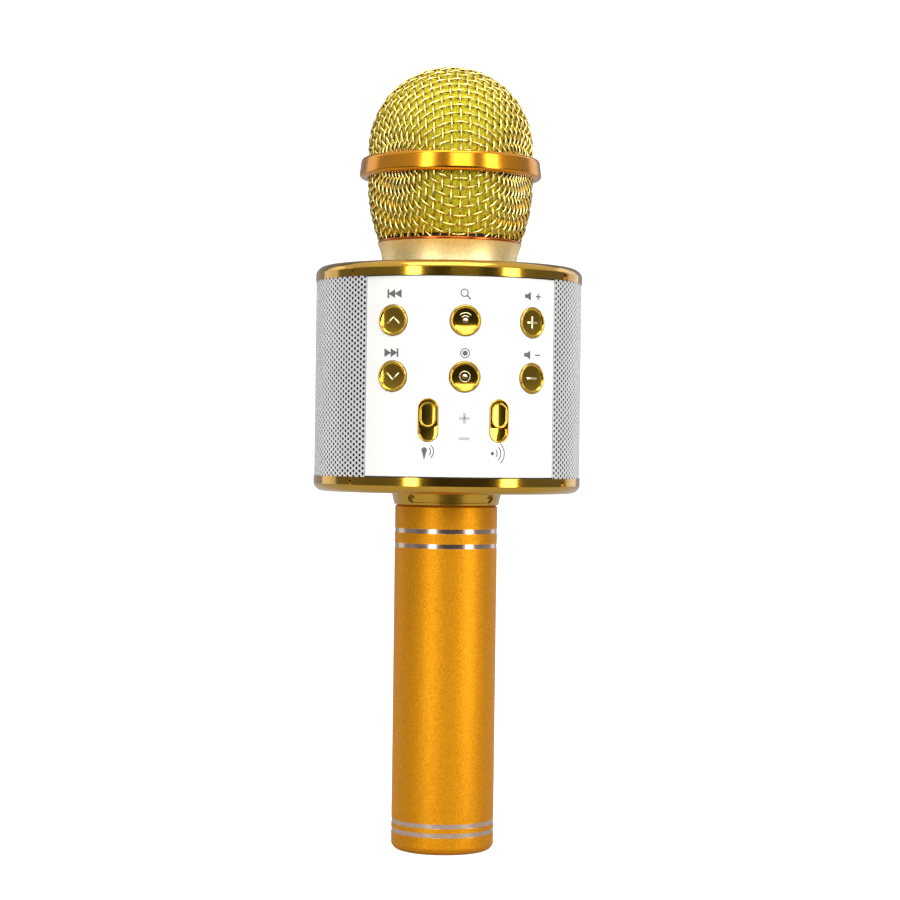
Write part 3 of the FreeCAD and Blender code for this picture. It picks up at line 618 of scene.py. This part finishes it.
def silver_sheet():
    finish = Finish("silver_sheet", metallic=0.45)
    lines = finish.noise(2.0, 3, 0.6, finish.stretched((80, 80, 2600)))
    tone = finish.noise(50, 2)
    finish.set("Base Color", finish.blend(tone, (0.80, 0.80, 0.81), (0.70, 0.70, 0.71)))
    finish.set("Roughness", lines * 0.16 + 0.36)
    finish.bump(lines, 0.06, 0.02 * MM)
    return finish


def printed(name, colour):
    finish = Finish(name, metallic=0.0)
    ink = finish.noise(1500, 2)
    finish.set("Base Color", finish.blend(ink, colour, tuple(part * 1.25 for part in colour)))
    finish.set("Roughness", ink * 0.2 + 0.4)
    return finish


def moulded(name, colour, rough=0.5, grain=1800, metallic=0.0, depth=0.05):
    finish = Finish(name, metallic=metallic)
    skin = finish.cells(grain)
    tone = finish.noise(120, 3)
    finish.set("Base Color", finish.blend(tone, colour, tuple(part * 0.7 for part in colour)))
    finish.set("Roughness", skin * 0.2 + rough)
    finish.bump(skin, 0.25, depth * MM)
    return finish


def circuit_board():
    finish = Finish("circuit_board", metallic=0.0)
    upright = finish.stretched((1, 1, 1), (math.pi / 2, 0, 0))
    traces = finish.node("ShaderNodeTexBrick", {}, {
        "Vector": upright, "Scale": 330.0, "Mortar Size": 0.03, "Color1": (0.012, 0.14, 0.035),
        "Color2": (0.018, 0.18, 0.05), "Mortar": (0.05, 0.33, 0.10)}, output="Color")
    mottling = finish.noise(160, 3)
    finish.set("Base Color", finish.blend(mottling * 0.3, traces, (0.01, 0.10, 0.03)))
    finish.set("Roughness", mottling * 0.2 + 0.25)
    finish.bump(mottling, 0.1)
    return finish


def paper_cone():
    finish = Finish("paper_cone", metallic=0.0)
    fibres = finish.noise(3.0, 4, 0.7, finish.stretched((300, 90, 90)))
    finish.set("Base Color", finish.blend(fibres, (0.02, 0.02, 0.022), (0.06, 0.06, 0.062)))
    finish.set("Roughness", fibres * 0.3 + 0.6)
    finish.bump(fibres, 0.4, 0.1 * MM)
    return finish


# ---------------------------------------------------------------- which finish goes where

BAND_WIDTH = 1.4 * MM
band_heights = (6.2 * MM, 9.0 * MM, tube_high - 12.7 * MM, tube_high - 8.1 * MM)

wire_gold = gold_wire()
foam_yellow = windscreen_foam()
ring_gold = brushed_gold()
lip_copper = copper_lip()
neck_gold = satin_gold()
mirror_gold = plated_gold("mirror_gold", (0.64, 0.41, 0.035), (0.50, 0.29, 0.012), 0.04)
mark_gold = plated_gold("mark_gold", (1.0, 0.90, 0.62), (0.94, 0.80, 0.46), 0.18)
plate_gold = plated_gold("plate_gold", (0.60, 0.35, 0.035), (0.46, 0.24, 0.01), 0.09)
handle_gold = anodised_handle()
panel_white = gloss_white()
grille_silver = silver_sheet()
print_grey = printed("print_grey", (0.10, 0.09, 0.09))
print_pale = printed("print_pale", (0.42, 0.42, 0.42))
black_plastic = moulded("black_plastic", (0.024, 0.022, 0.020))
rubber = moulded("boot_rubber", (0.02, 0.02, 0.02), 0.7, 900)
nickel = moulded("bright_nickel", (0.75, 0.73, 0.70), 0.12, 900, 1.0, 0.01)
board_green = circuit_board()
enamel = moulded("black_enamel", (0.03, 0.03, 0.033), 0.25, 700, 0.3, 0.02)
ferrite = moulded("ground_ferrite", (0.06, 0.06, 0.07), 0.4, 1300, 0.2)
cone_black = paper_cone()
cloth_black = moulded("dust_cloth", (0.012, 0.012, 0.014), 0.75, 2400)
cell_film = moulded("cell_film", (0.05, 0.16, 0.42), 0.18, 500, 0.0, 0.01)
zinc = moulded("zinc_plate", (0.66, 0.66, 0.64), 0.2, 1200, 1.0, 0.01)
red_sheath = moulded("lead_sheath", (0.42, 0.02, 0.02), 0.35, 900)
lamp_red = moulded("lamp_lens", (0.60, 0.04, 0.03), 0.08, 900)

CAD_FINISHES = {
    neck_gold: ["neck_collar"],
    lip_copper: ["grille_base_ring"],
    ring_gold: ["grille_ring"],
    plate_gold: ["top_plate", "bottom_plate", "handle_collar"],
    mirror_gold: ["mic_volume_bezel", "echo_bezel", "mic_volume_slider",
                  "echo_slider", "previous_button", "next_button", "scan_button", "record_button",
                  "volume_up_button", "volume_down_button"],
    handle_gold: ["handle_tube", "end_cap"],
    panel_white: ["front_panel", "rear_panel"],
    grille_silver: ["speaker_grille_left", "speaker_grille_right"],
    wire_gold: ["grille_dome", "grille_cup"],
    foam_yellow: ["foam_liner"],
    black_plastic: ["body_frame", "battery_sleeve", "capsule_mount", "handle_stem", "card_socket",
                    "audio_jack", "power_switch_body", "power_knob", "key_switches", "fader_bodies"],
    rubber: ["capsule_boot", "speaker_surround_left", "speaker_surround_right"],
    nickel: ["microphone_capsule", "charge_socket"],
    board_green: ["front_board", "rear_board"],
    enamel: ["speaker_basket_left", "speaker_basket_right"],
    ferrite: ["speaker_magnet_left", "speaker_magnet_right"],
    cone_black: ["speaker_cone_left", "speaker_cone_right"],
    cell_film: ["battery_cell"],
    zinc: ["frame_screws", "speaker_screws", "board_screws"],
    red_sheath: ["battery_leads", "microphone_lead", "speaker_leads", "board_cable"],
    lamp_red: ["charge_lamp"],
}
for finish, names in CAD_FINISHES.items():
    for name in names:
        nodes[name].data.materials.clear()
        nodes[name].data.materials.append(finish.material)


def fit(piece, body, finish, replaces=None):
    """Gives a finished piece its material and its body, and hides the CAD node that it stands for."""
    piece.data.materials.clear()
    piece.data.materials.append(finish.material)
    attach(piece, body)
    if replaces:
        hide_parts(replaces)
    return piece


# ---------------------------------------------------------------- the ball head

FOAM_WALL = 3.5 * MM

fit(woven("woven_dome", Dome(wire_middle), WEAVE_PITCH, WIRE_RADIUS, 18), "housing", wire_gold,
    "grille_dome")
fit(woven("woven_cup", Cup(wire_middle, lip_middle), WEAVE_PITCH, WIRE_RADIUS, 20), "housing", wire_gold,
    "grille_cup")


def foam():
    """The foam lining: a turned shell with a faintly uneven skin."""
    low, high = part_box("foam_liner")
    outer = high.x
    inner = outer - FOAM_WALL
    centre = high.z - outer
    outside = [(21.2 * MM, low.z - 1.2 * MM), (21.6 * MM, low.z), (22.9 * MM, low.z + 4 * MM),
               (24.0 * MM, low.z + 8 * MM), (24.55 * MM, low.z + 12 * MM), (outer, ring_low)]
    outside += arc((0, centre), outer, 0, 90, 30)
    inside = [(radius, height) for radius, height in reversed(arc((0, centre), inner, 0, 90, 16))]
    inside += [(inner, ring_low), (18.2 * MM, low.z + 1 * MM), (18.2 * MM, low.z), (20.3 * MM, low.z),
               (20.3 * MM, low.z - 1.2 * MM), (21.2 * MM, low.z - 1.2 * MM)]
    piece = turned("foam_lining", outside + inside, 120)
    for vertex in piece.data.vertices:
        point = vertex.co
        wave = math.sin(point.x * 1900) * math.sin(point.y * 2100 + 1) * math.sin(point.z * 1700 + 2)
        vertex.co -= vertex.normal * (0.10 + 0.10 * wave) * MM
    fit(piece, "housing", foam_yellow, "foam_liner")


foam()


# ---------------------------------------------------------------- perforated speaker grilles

HOLE_RADIUS = 0.49 * MM
ROW_PITCH = 1.6 * MM
COLUMN_PITCH = 1.25 * MM
SHEET = 0.2 * MM
CLOTH = 0.1 * MM
CLOTH_GAP = 0.55 * MM


def perforated_sheet(name, side):
    """A staggered sheet of round holes, made flat from one cell and rolled round the drum."""
    low, high = drum_low, drum_high
    sweep = math.pi - 2 * PANEL_HALF_ANGLE - math.radians(0.3)
    run = sweep * grille_radius
    columns = 2 * round(run / COLUMN_PITCH / 2)
    pitch = run / columns
    clear_selection()
    ops.mesh.primitive_circle_add(vertices=12, radius=HOLE_RADIUS, location=(0, 0, 0))
    piece = named(name)
    edit(piece)
    ops.mesh.extrude_region_move(TRANSFORM_OT_translate={"value": (0, 0, 0)})
    ops.object.mode_set(mode="OBJECT")
    for vertex in piece.data.vertices:
        if vertex.select:
            across, up = vertex.co.x / HOLE_RADIUS, vertex.co.y / HOLE_RADIUS
            turn = math.atan2(up, across)
            step = round(math.degrees(turn) / 30)
            x = {0: 1, 1: 1, 2: 1, 3: 0, 4: -1, 5: -1, 6: -1}[abs(step)]
            y = {0: 0, 1: 0.5, 2: 1, 3: 1, 4: 1, 5: 0.5, 6: 0}[abs(step)]
            vertex.co = (x * pitch / 2, math.copysign(y, step) * ROW_PITCH / 2, 0)
    rows = math.ceil((high - low) / ROW_PITCH) + 2
    offset = dict(use_relative_offset=False, use_constant_offset=True, use_merge_vertices=True,
                  merge_threshold=FINE)
    finish_with(piece, "ARRAY", count=rows, constant_offset_displace=(0, ROW_PITCH, 0), **offset)
    finish_with(piece, "ARRAY", count=2, constant_offset_displace=(pitch, ROW_PITCH / 2, 0), **offset)
    finish_with(piece, "ARRAY", count=columns // 2, constant_offset_displace=(2 * pitch, 0, 0), **offset)
    moved(piece, Matrix.Translation((-run / 2 + pitch / 2, low - ROW_PITCH * 0.9, 0)))
    edit(piece)
    ops.mesh.remove_doubles(threshold=FINE)
    ops.mesh.bisect(plane_co=(0, low, 0), plane_no=(0, -1, 0), clear_outer=True)
    ops.mesh.select_all(action="SELECT")
    ops.mesh.bisect(plane_co=(0, high, 0), plane_no=(0, 1, 0), clear_outer=True)
    ops.mesh.select_all(action="SELECT")
    ops.mesh.normals_make_consistent(inside=False)
    settle(piece)
    if piece.data.polygons[0].normal.z < 0:
        edit(piece)
        ops.mesh.flip_normals()
        settle(piece)
    finish_with(piece, "SOLIDIFY", thickness=SHEET, offset=-1)
    roll(piece, grille_radius, side * math.pi / 2)
    return smooth(piece, 40)


def speaker_cloth(name, side):
    """The black dust cloth stretched behind a perforated sheet."""
    sweep = math.pi - 2 * PANEL_HALF_ANGLE - math.radians(0.6)
    radius = grille_radius - CLOTH_GAP
    clear_selection()
    ops.mesh.primitive_grid_add(x_subdivisions=60, y_subdivisions=8, size=1)
    piece = named(name)
    edit(piece)
    ops.transform.resize(value=(sweep * radius, drum_high - drum_low, 1), center_override=(0, 0, 0))
    ops.transform.translate(value=(0, (drum_high + drum_low) / 2, 0))
    settle(piece)
    finish_with(piece, "SOLIDIFY", thickness=CLOTH, offset=-1)
    roll(piece, radius, side * math.pi / 2)
    return smooth(piece)


for side_name, side in (("left", -1), ("right", 1)):
    fit(speaker_cloth(f"speaker_cloth_{side_name}", side), "housing", cloth_black)
    fit(perforated_sheet(f"perforated_grille_{side_name}", side), "housing", grille_silver,
        f"speaker_grille_{side_name}")


def shade_ring(name, low, high):
    """A thin dark ring between a gold plate and the panels, just proud of them: painted shade standing for
    the line of shadow where the plate meets the panels.
    """
    outer = panel_radius + 0.12 * MM
    inner = panel_radius - 0.4 * MM
    outline = [(inner, low), (inner, high), (outer, high), (outer, low), (inner, low)]
    fit(turned(name, outline, 240, 0.03 * MM), "housing", rubber)


# The two dark rings are painted shade along the joints of the gold plates and the panels.
shade_ring("top_seal", drum_high - 0.28 * MM, drum_high)
shade_ring("bottom_seal", drum_low, drum_low + 0.38 * MM)


# ---------------------------------------------------------------- push buttons and slide controls


def outward(node, angle):
    """The nearest and farthest reach of a CAD node along the drum's radius at an angle from -Y."""
    way = Vector((math.sin(angle), -math.cos(angle), 0))
    reaches = [vertex.co.dot(way) for vertex in nodes[node].data.vertices]
    return min(reaches), max(reaches)


MARK_SUNK = 0.1 * MM
MARK_PROUD = 0.14 * MM
MARK_BAR = (3.8 * MM, 0.6 * MM, 0.4 * MM)


def chevron(way, floor):
    limb = (2.9 * MM, 0.40 * MM, 0.36 * MM)
    lean = math.radians(42)
    return [bar(limb, (hand * 0.97 * MM, 0, floor), -hand * way * lean, 0.08 * MM) for hand in (-1, 1)]


def plus_mark(floor):
    return [bar(MARK_BAR, (0, 0, floor), turn, 0.1 * MM) for turn in (0, math.pi / 2)]


def minus_mark(floor):
    return [bar(MARK_BAR, (0, 0, floor), 0, 0.1 * MM)]


def ring_mark(floor, radius, wide):
    low, high, inner = floor - MARK_SUNK, floor + MARK_PROUD, radius - wide
    outline = [(inner, low), (inner, high), (radius, high), (radius, low), (inner, low)]
    return [turned("mark", outline, 48, 0.05 * MM)]


def dot_mark(floor):
    low, radius = floor - MARK_SUNK, 0.75 * MM
    outline = [(0, low), (radius, low), (radius, floor + MARK_PROUD), (0, floor + MARK_PROUD + 0.04 * MM)]
    return [turned("mark", outline, 32, 0.05 * MM)]


def record_marks(floor):
    return ring_mark(floor, 1.7 * MM, 0.3 * MM) + dot_mark(floor)


def scan_marks(floor):
    """Two rising waves and a dot, for a search."""
    pieces = dot_mark(floor)
    for radius in (1.5 * MM, 2.4 * MM):
        piece = ring_mark(floor, radius, 0.3 * MM)[0]
        edit(piece)
        for lean in (1, -1):
            ops.mesh.select_all(action="SELECT")
            ops.mesh.bisect(plane_co=(0, 0, 0), plane_no=(lean, -1, 0), use_fill=True, clear_outer=True)
        pieces.append(settle(piece))
    return pieces


BUTTON_MARKS = {
    "previous_button": lambda floor: chevron(1, floor),
    "next_button": lambda floor: chevron(-1, floor),
    "scan_button": scan_marks,
    "record_button": record_marks,
    "volume_up_button": plus_mark,
    "volume_down_button": minus_mark,
}


FLANGE_RIM = 0.8 * MM
STEM_RADIUS = 1.5 * MM
CAP_ROUND = 0.34 * MM
DISH = 0.42 * MM


def push_button(node):
    """A cap with a shallow dish, its flange behind the panel and its stem, and the mark on its face."""
    joint = [j for j in frame["joints"] if j["child"] == node][0]
    angle = math.atan2(-joint["axis"][0], joint["axis"][1])
    low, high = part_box(node)
    height = (low.z + high.z) / 2
    flange = (high.z - low.z) / 2
    cap = flange - FLANGE_RIM
    end, face = outward(node, angle)
    shoulder = math.sqrt((panel_radius - 2.2 * MM) ** 2 - flange ** 2) - 0.05 * MM
    floor = face - DISH
    outline = [(0, floor - 0.18 * MM), (1.0 * MM, floor - 0.17 * MM), (2.0 * MM, floor - 0.12 * MM),
               (3.0 * MM, floor - 0.04 * MM), (3.7 * MM, floor + 0.05 * MM), (3.9 * MM, face - 0.12 * MM)]
    outline += arc((cap - CAP_ROUND, face - CAP_ROUND), CAP_ROUND, 112, 0, 8)
    under = shoulder - FLANGE_RIM
    outline += [(cap, shoulder), (flange, shoulder), (flange, under)]
    outline += [(STEM_RADIUS, under), (STEM_RADIUS, end), (0, end)]
    piece = turned(f"{node}_cap", outline, 96)
    moved(smooth(piece), facing_out(angle, height))
    fit(piece, node, mirror_gold, node)
    mark = join(f"{node}_mark", BUTTON_MARKS[node](floor - MARK_SUNK))
    moved(smooth(mark), facing_out(angle, height))
    fit(mark, node, mark_gold)


for node in BUTTON_MARKS:
    push_button(node)


SLIDER = math.radians(15)
TRAY_HALF_WIDTH = 3.1 * MM
TRAY_FLOOR = 1.2 * MM
TRAY_RIM = 0.34 * MM
KNOB_HALF_WIDTH = 2.55 * MM
KNOB_RIM = 0.42 * MM
LEVER = (1.2 * MM, 1.8 * MM)
LEVER_RISE = 2 * MM
LEVER_SLOT = (1.9 * MM, 7.1 * MM, 4 * MM)
SLOT_RISE = 1.9 * MM


def slide_control(name, side):
    """A pill-shaped gold tray let into the panel, and the knob that slides in it."""
    angle = side * SLIDER
    bezel, knob = f"{name}_bezel", f"{name}_slider"
    low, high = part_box(bezel)
    height = (low.z + high.z) / 2
    half_length = (high.z - low.z) / 2
    back, front = outward(bezel, angle)
    floor = back + TRAY_FLOOR
    tray = pill(f"{name}_tray", TRAY_HALF_WIDTH, half_length, back, front, 96)
    choose_faces(tray, lambda centre, normal: normal.z > 0.9)
    ops.mesh.inset(thickness=TRAY_RIM)
    ops.mesh.extrude_region_move(TRANSFORM_OT_translate={"value": (0, 0, floor - front)})
    settle(tray)
    rounded(tray, 0.12 * MM, 3)
    slot = bar(LEVER_SLOT, (0, SLOT_RISE, back))
    finish_with(tray, "BOOLEAN", operation="DIFFERENCE", object=slot)
    bpy.data.objects.remove(slot)
    moved(smooth(tray), facing_out(angle, height))
    fit(tray, "housing", mirror_gold, bezel)

    low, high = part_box(knob)
    rest = (low.z + high.z) / 2
    half_length = (high.z - low.z) / 2
    end, face = outward(knob, angle)
    head = pill(f"{name}_knob", KNOB_HALF_WIDTH, half_length, floor + 0.1 * MM, face, 96)
    choose_faces(head, lambda centre, normal: normal.z > 0.9)
    ops.mesh.inset(thickness=KNOB_RIM)
    ops.mesh.inset(thickness=0.12 * MM)
    ops.transform.translate(value=(0, 0, -0.16 * MM))
    settle(head)
    rounded(head, 0.16 * MM, 3, 50)
    root = floor + 0.6 * MM
    lever = bar((*LEVER, root - end), (0, LEVER_RISE, (root + end) / 2), 0, 0.1 * MM)
    head = join(f"{name}_knob", [head, lever])
    moved(smooth(head), facing_out(angle, rest))
    fit(head, knob, mirror_gold, knob)


slide_control("mic_volume", -1)
slide_control("echo", 1)


# ---------------------------------------------------------------- printed signs on the panel

INK = 0.04 * MM
INK_GAP = 0.005 * MM
SIGN_SIZE = 1.3


def flat_ring(radius, wide, centre=(0, 0), sides=40):
    clear_selection()
    ops.mesh.primitive_circle_add(vertices=sides, radius=radius, location=(*centre, 0), fill_type="NGON")
    piece = bpy.context.object
    edit(piece)
    ops.mesh.inset(thickness=wide)
    ops.mesh.delete(type="FACE")
    return settle(piece)


def flat_disc(radius, centre=(0, 0), sides=32, turn=0.0, stretch=(1, 1, 1)):
    clear_selection()
    ops.mesh.primitive_circle_add(vertices=sides, radius=radius, location=(*centre, 0), fill_type="NGON",
                                  rotation=(0, 0, turn))
    piece = bpy.context.object
    piece.scale = stretch
    return settle(piece)


def flat_bar(size, centre=(0, 0), turn=0.0):
    clear_selection()
    ops.mesh.primitive_plane_add(size=1, location=(*centre, 0), rotation=(0, 0, turn))
    piece = bpy.context.object
    piece.scale = (*size, 1)
    return settle(piece)


def keep_side(piece, point, outside):
    """Cuts a flat piece along a line and keeps the side away from its outward direction."""
    edit(piece)
    ops.mesh.bisect(plane_co=(*point, 0), plane_no=(*outside, 0), clear_outer=True)
    return settle(piece)


def triangle(size, centre, way):
    """A flat triangle pointing left or right."""
    return flat_disc(size, centre, 3, math.pi / 2 if way < 0 else -math.pi / 2)


def arcs(centre, radii, wide, lean):
    """Parts of rings that open to the right, like sound leaving a speaker."""
    pieces = []
    for radius in radii:
        piece = flat_ring(radius, wide, centre, 48)
        keep_side(piece, centre, (-1, lean))
        keep_side(piece, centre, (-1, -lean))
        pieces.append(piece)
    return pieces


def skip_sign(way):
    shapes = [triangle(1.15 * MM, (x * way * MM, 0), way) for x in (-1.5, 0.1)]
    return shapes + [flat_bar((0.42 * MM, 2.0 * MM), (1.25 * way * MM, 0))]


def scan_sign():
    glass = flat_ring(0.95 * MM, 0.26 * MM, (-0.3 * MM, 0.25 * MM))
    return [glass, flat_bar((1.2 * MM, 0.34 * MM), (0.75 * MM, -0.8 * MM), -math.pi / 4)]


def record_sign():
    return [flat_ring(1.15 * MM, 0.24 * MM), flat_disc(0.6 * MM)]


def speaker_sign(centre):
    x, y = centre
    box = flat_bar((0.7 * MM, 0.9 * MM), (x - 0.7 * MM, y))
    horn = triangle(1.2 * MM, (x + 0.1 * MM, y), -1)
    return [box, horn]


def volume_sign(rising):
    shapes = speaker_sign((-1.3 * MM, 0))
    shapes.append(flat_bar((1.5 * MM, 0.32 * MM), (1.6 * MM, 0)))
    if rising:
        shapes.append(flat_bar((0.32 * MM, 1.5 * MM), (1.6 * MM, 0)))
    return shapes


def microphone_sign():
    grip = flat_disc(1.45 * MM, (-0.8 * MM, -0.35 * MM), 3, math.pi, (0.42, 1, 1))
    shapes = [flat_disc(0.66 * MM, (-0.8 * MM, 0.62 * MM)), grip]
    return shapes + arcs((-0.4 * MM, 0.3 * MM), (1.2 * MM, 1.9 * MM), 0.24 * MM, 0.8)


def echo_sign():
    source = (-1.6 * MM, 0)
    return [flat_disc(0.42 * MM, source)] + arcs(source, (1.3 * MM, 2.2 * MM, 3.1 * MM), 0.26 * MM, 0.9)


def minus_sign():
    return [flat_bar((2.5 * MM, 0.72 * MM))]


def plus_sign():
    return minus_sign() + [flat_bar((0.72 * MM, 2.5 * MM))]


def print_on_panel(name, shapes, angle, height, finish):
    """Joins flat shapes, gives them the ink's thickness and rolls them onto the panel."""
    piece = join(name, shapes)
    choose_faces(piece, lambda centre, normal: normal.z < 0)
    ops.mesh.flip_normals()
    settle(piece)
    moved(piece, Matrix.Diagonal((SIGN_SIZE, SIGN_SIZE, 1, 1)))
    for step in range(-10, 11):
        edit(piece)
        ops.mesh.bisect(plane_co=(step * 0.5 * MM, 0, 0), plane_no=(1, 0, 0))
        settle(piece)
    finish_with(piece, "SOLIDIFY", thickness=INK, offset=1)
    edit(piece)
    ops.mesh.normals_make_consistent(inside=False)
    settle(piece)
    roll(piece, panel_radius + INK_GAP, angle)
    moved(piece, Matrix.Translation((0, 0, height)))
    fit(piece, "housing", finish)


COLUMN = math.radians(30.7)
SIGN_HEIGHTS = {"high": drum_high - 5.6 * MM, "low": drum_high - 23.2 * MM, "slide": drum_high - 52.9 * MM}
print_on_panel("previous_sign", skip_sign(-1), -COLUMN, SIGN_HEIGHTS["high"], print_grey)
print_on_panel("next_sign", skip_sign(1), -COLUMN, SIGN_HEIGHTS["low"], print_grey)
print_on_panel("scan_sign", scan_sign(), 0, SIGN_HEIGHTS["high"], print_grey)
print_on_panel("record_sign", record_sign(), 0, SIGN_HEIGHTS["low"], print_grey)
print_on_panel("volume_up_sign", volume_sign(True), COLUMN, SIGN_HEIGHTS["high"], print_grey)
print_on_panel("volume_down_sign", volume_sign(False), COLUMN, SIGN_HEIGHTS["low"], print_grey)
print_on_panel("mic_volume_sign", microphone_sign(), -SLIDER, SIGN_HEIGHTS["slide"], print_grey)
print_on_panel("echo_sign", echo_sign(), SLIDER, SIGN_HEIGHTS["slide"], print_grey)
print_on_panel("more_sign", plus_sign(), 0, drum_high - 42.5 * MM, print_pale)
print_on_panel("less_sign", minus_sign(), 0, drum_high - 48.6 * MM, print_pale)


# ---------------------------------------------------------------- floor, light and camera

PAPER_GLOW = 0.9
ROOM_LIGHT = 0.92

def backdrop():
    """A pale sweep of paper under and behind the object, open towards the front."""
    clear_selection()
    ops.mesh.primitive_plane_add(size=1, location=(0, 0, 0))
    sweep = named("paper_sweep")
    edit(sweep)
    ops.transform.resize(value=(5, 2.7, 1), center_override=(0, 0, 0))
    ops.transform.translate(value=(0, 1.15, 0))
    settle(sweep)
    edit(sweep)
    ops.mesh.select_mode(type="EDGE")
    ops.mesh.select_all(action="DESELECT")
    ops.object.mode_set(mode="OBJECT")
    for edge in sweep.data.edges:
        edge.select = all(sweep.data.vertices[index].co.y > 2 for index in edge.vertices)
    ops.object.mode_set(mode="EDIT")
    ops.mesh.extrude_region_move(TRANSFORM_OT_translate={"value": (0, 0, 3)})
    settle(sweep)
    rounded(sweep, 1.2, 24)
    smooth(sweep, 80)
    paper = Finish("backdrop_paper", metallic=0.0, emission_strength=PAPER_GLOW)
    tooth = paper.noise(40, 2)
    paper.set("Base Color", paper.blend(tooth, (0.42, 0.42, 0.42), (0.44, 0.44, 0.44)))
    seen = paper.node("ShaderNodeLightPath", output="Is Camera Ray")
    paper.set("Emission Color", paper.blend(seen, (0.05, 0.05, 0.05), (1, 1, 1)))
    paper.set("Roughness", tooth * 0.1 + 0.8)
    sweep.data.materials.append(paper.material)


def softbox(name, azimuth, distance, height, size, power):
    """A rectangular lamp at an angle from the front, aimed at the middle of the object."""
    lamp = bpy.data.lights.new(name, "AREA")
    lamp.shape = "RECTANGLE"
    lamp.size, lamp.size_y = size
    lamp.energy = power
    holder = bpy.data.objects.new(name, lamp)
    bpy.context.scene.collection.objects.link(holder)
    turn = math.radians(azimuth)
    holder.location = (distance * math.sin(turn), -distance * math.cos(turn), height)
    aim = Vector((0, 0, 0.14)) - holder.location
    holder.rotation_euler = aim.to_track_quat("-Z", "Y").to_euler()


def room():
    """Soft light from all round: bright above, dim low down and straight in front, plain white to look at."""
    world = bpy.data.worlds.new("studio")
    bpy.context.scene.world = world
    recipe = Recipe(world)
    way = recipe.node("ShaderNodeTexCoord", output="Generated")
    height = recipe.node("ShaderNodeSeparateXYZ", {}, {"Vector": way}, output="Z")
    ahead = recipe.node("ShaderNodeVectorMath", {"operation": "DOT_PRODUCT"},
                        {0: way, 1: (0.12, -0.99, 0.0)}, output="Value")
    level = recipe.ramp(height * 0.5 + 0.5, (0.30, (0.22,) * 3), (0.50, (0.20,) * 3), (0.60, (0.34,) * 3),
                        (0.74, (0.95,) * 3), (1.0, (1.15,) * 3))
    dim = recipe.ramp(ahead, (0.70, (1.0,) * 3), (0.92, (0.22,) * 3))
    glow = recipe.node("ShaderNodeMix", {"data_type": "RGBA", "blend_type": "MULTIPLY"},
                       {0: 1.0, 6: level, 7: dim}, output=2)
    seen = recipe.node("ShaderNodeLightPath", output="Is Camera Ray")
    recipe.feed(recipe.tree.nodes["Background"].inputs["Color"], recipe.blend(seen, glow, (1.2, 1.2, 1.2)))
    recipe.feed(recipe.tree.nodes["Background"].inputs["Strength"], ROOM_LIGHT)


def camera():
    lens = bpy.data.cameras.new("camera")
    lens.lens = 96
    lens.sensor_width = 36
    lens.clip_start = 0.01
    lens.shift_x = 0.0033
    lens.shift_y = -0.0056
    holder = bpy.data.objects.new("camera", lens)
    bpy.context.scene.collection.objects.link(holder)
    distance, height = 0.753, 0.1264
    azimuth, lean = math.radians(-7), math.radians(0.73)
    holder.location = (distance * math.sin(azimuth), -distance * math.cos(azimuth), height)
    level = Matrix.Rotation(azimuth, 4, "Z") @ Matrix.Rotation(math.pi / 2, 4, "X")
    holder.rotation_euler = (level @ Matrix.Rotation(lean, 4, "Z")).to_euler()
    bpy.context.scene.camera = holder


backdrop()
room()
softbox("left_softbox", -37, 1.0, 0.28, (0.21, 0.9), 4.2)
softbox("right_softbox", 47, 1.0, 0.28, (0.26, 0.9), 5.0)
softbox("front_softbox", 7, 1.0, 0.50, (0.46, 0.38), 2.5)
softbox("high_softbox", -8, 0.35, 1.1, (0.9, 0.6), 6.4)
softbox("rear_left_softbox", -128, 1.1, 0.4, (0.5, 0.9), 1.2)
softbox("rear_right_softbox", 128, 1.1, 0.4, (0.5, 0.9), 1.2)
camera()
bpy.context.scene.view_settings.view_transform = "Standard"
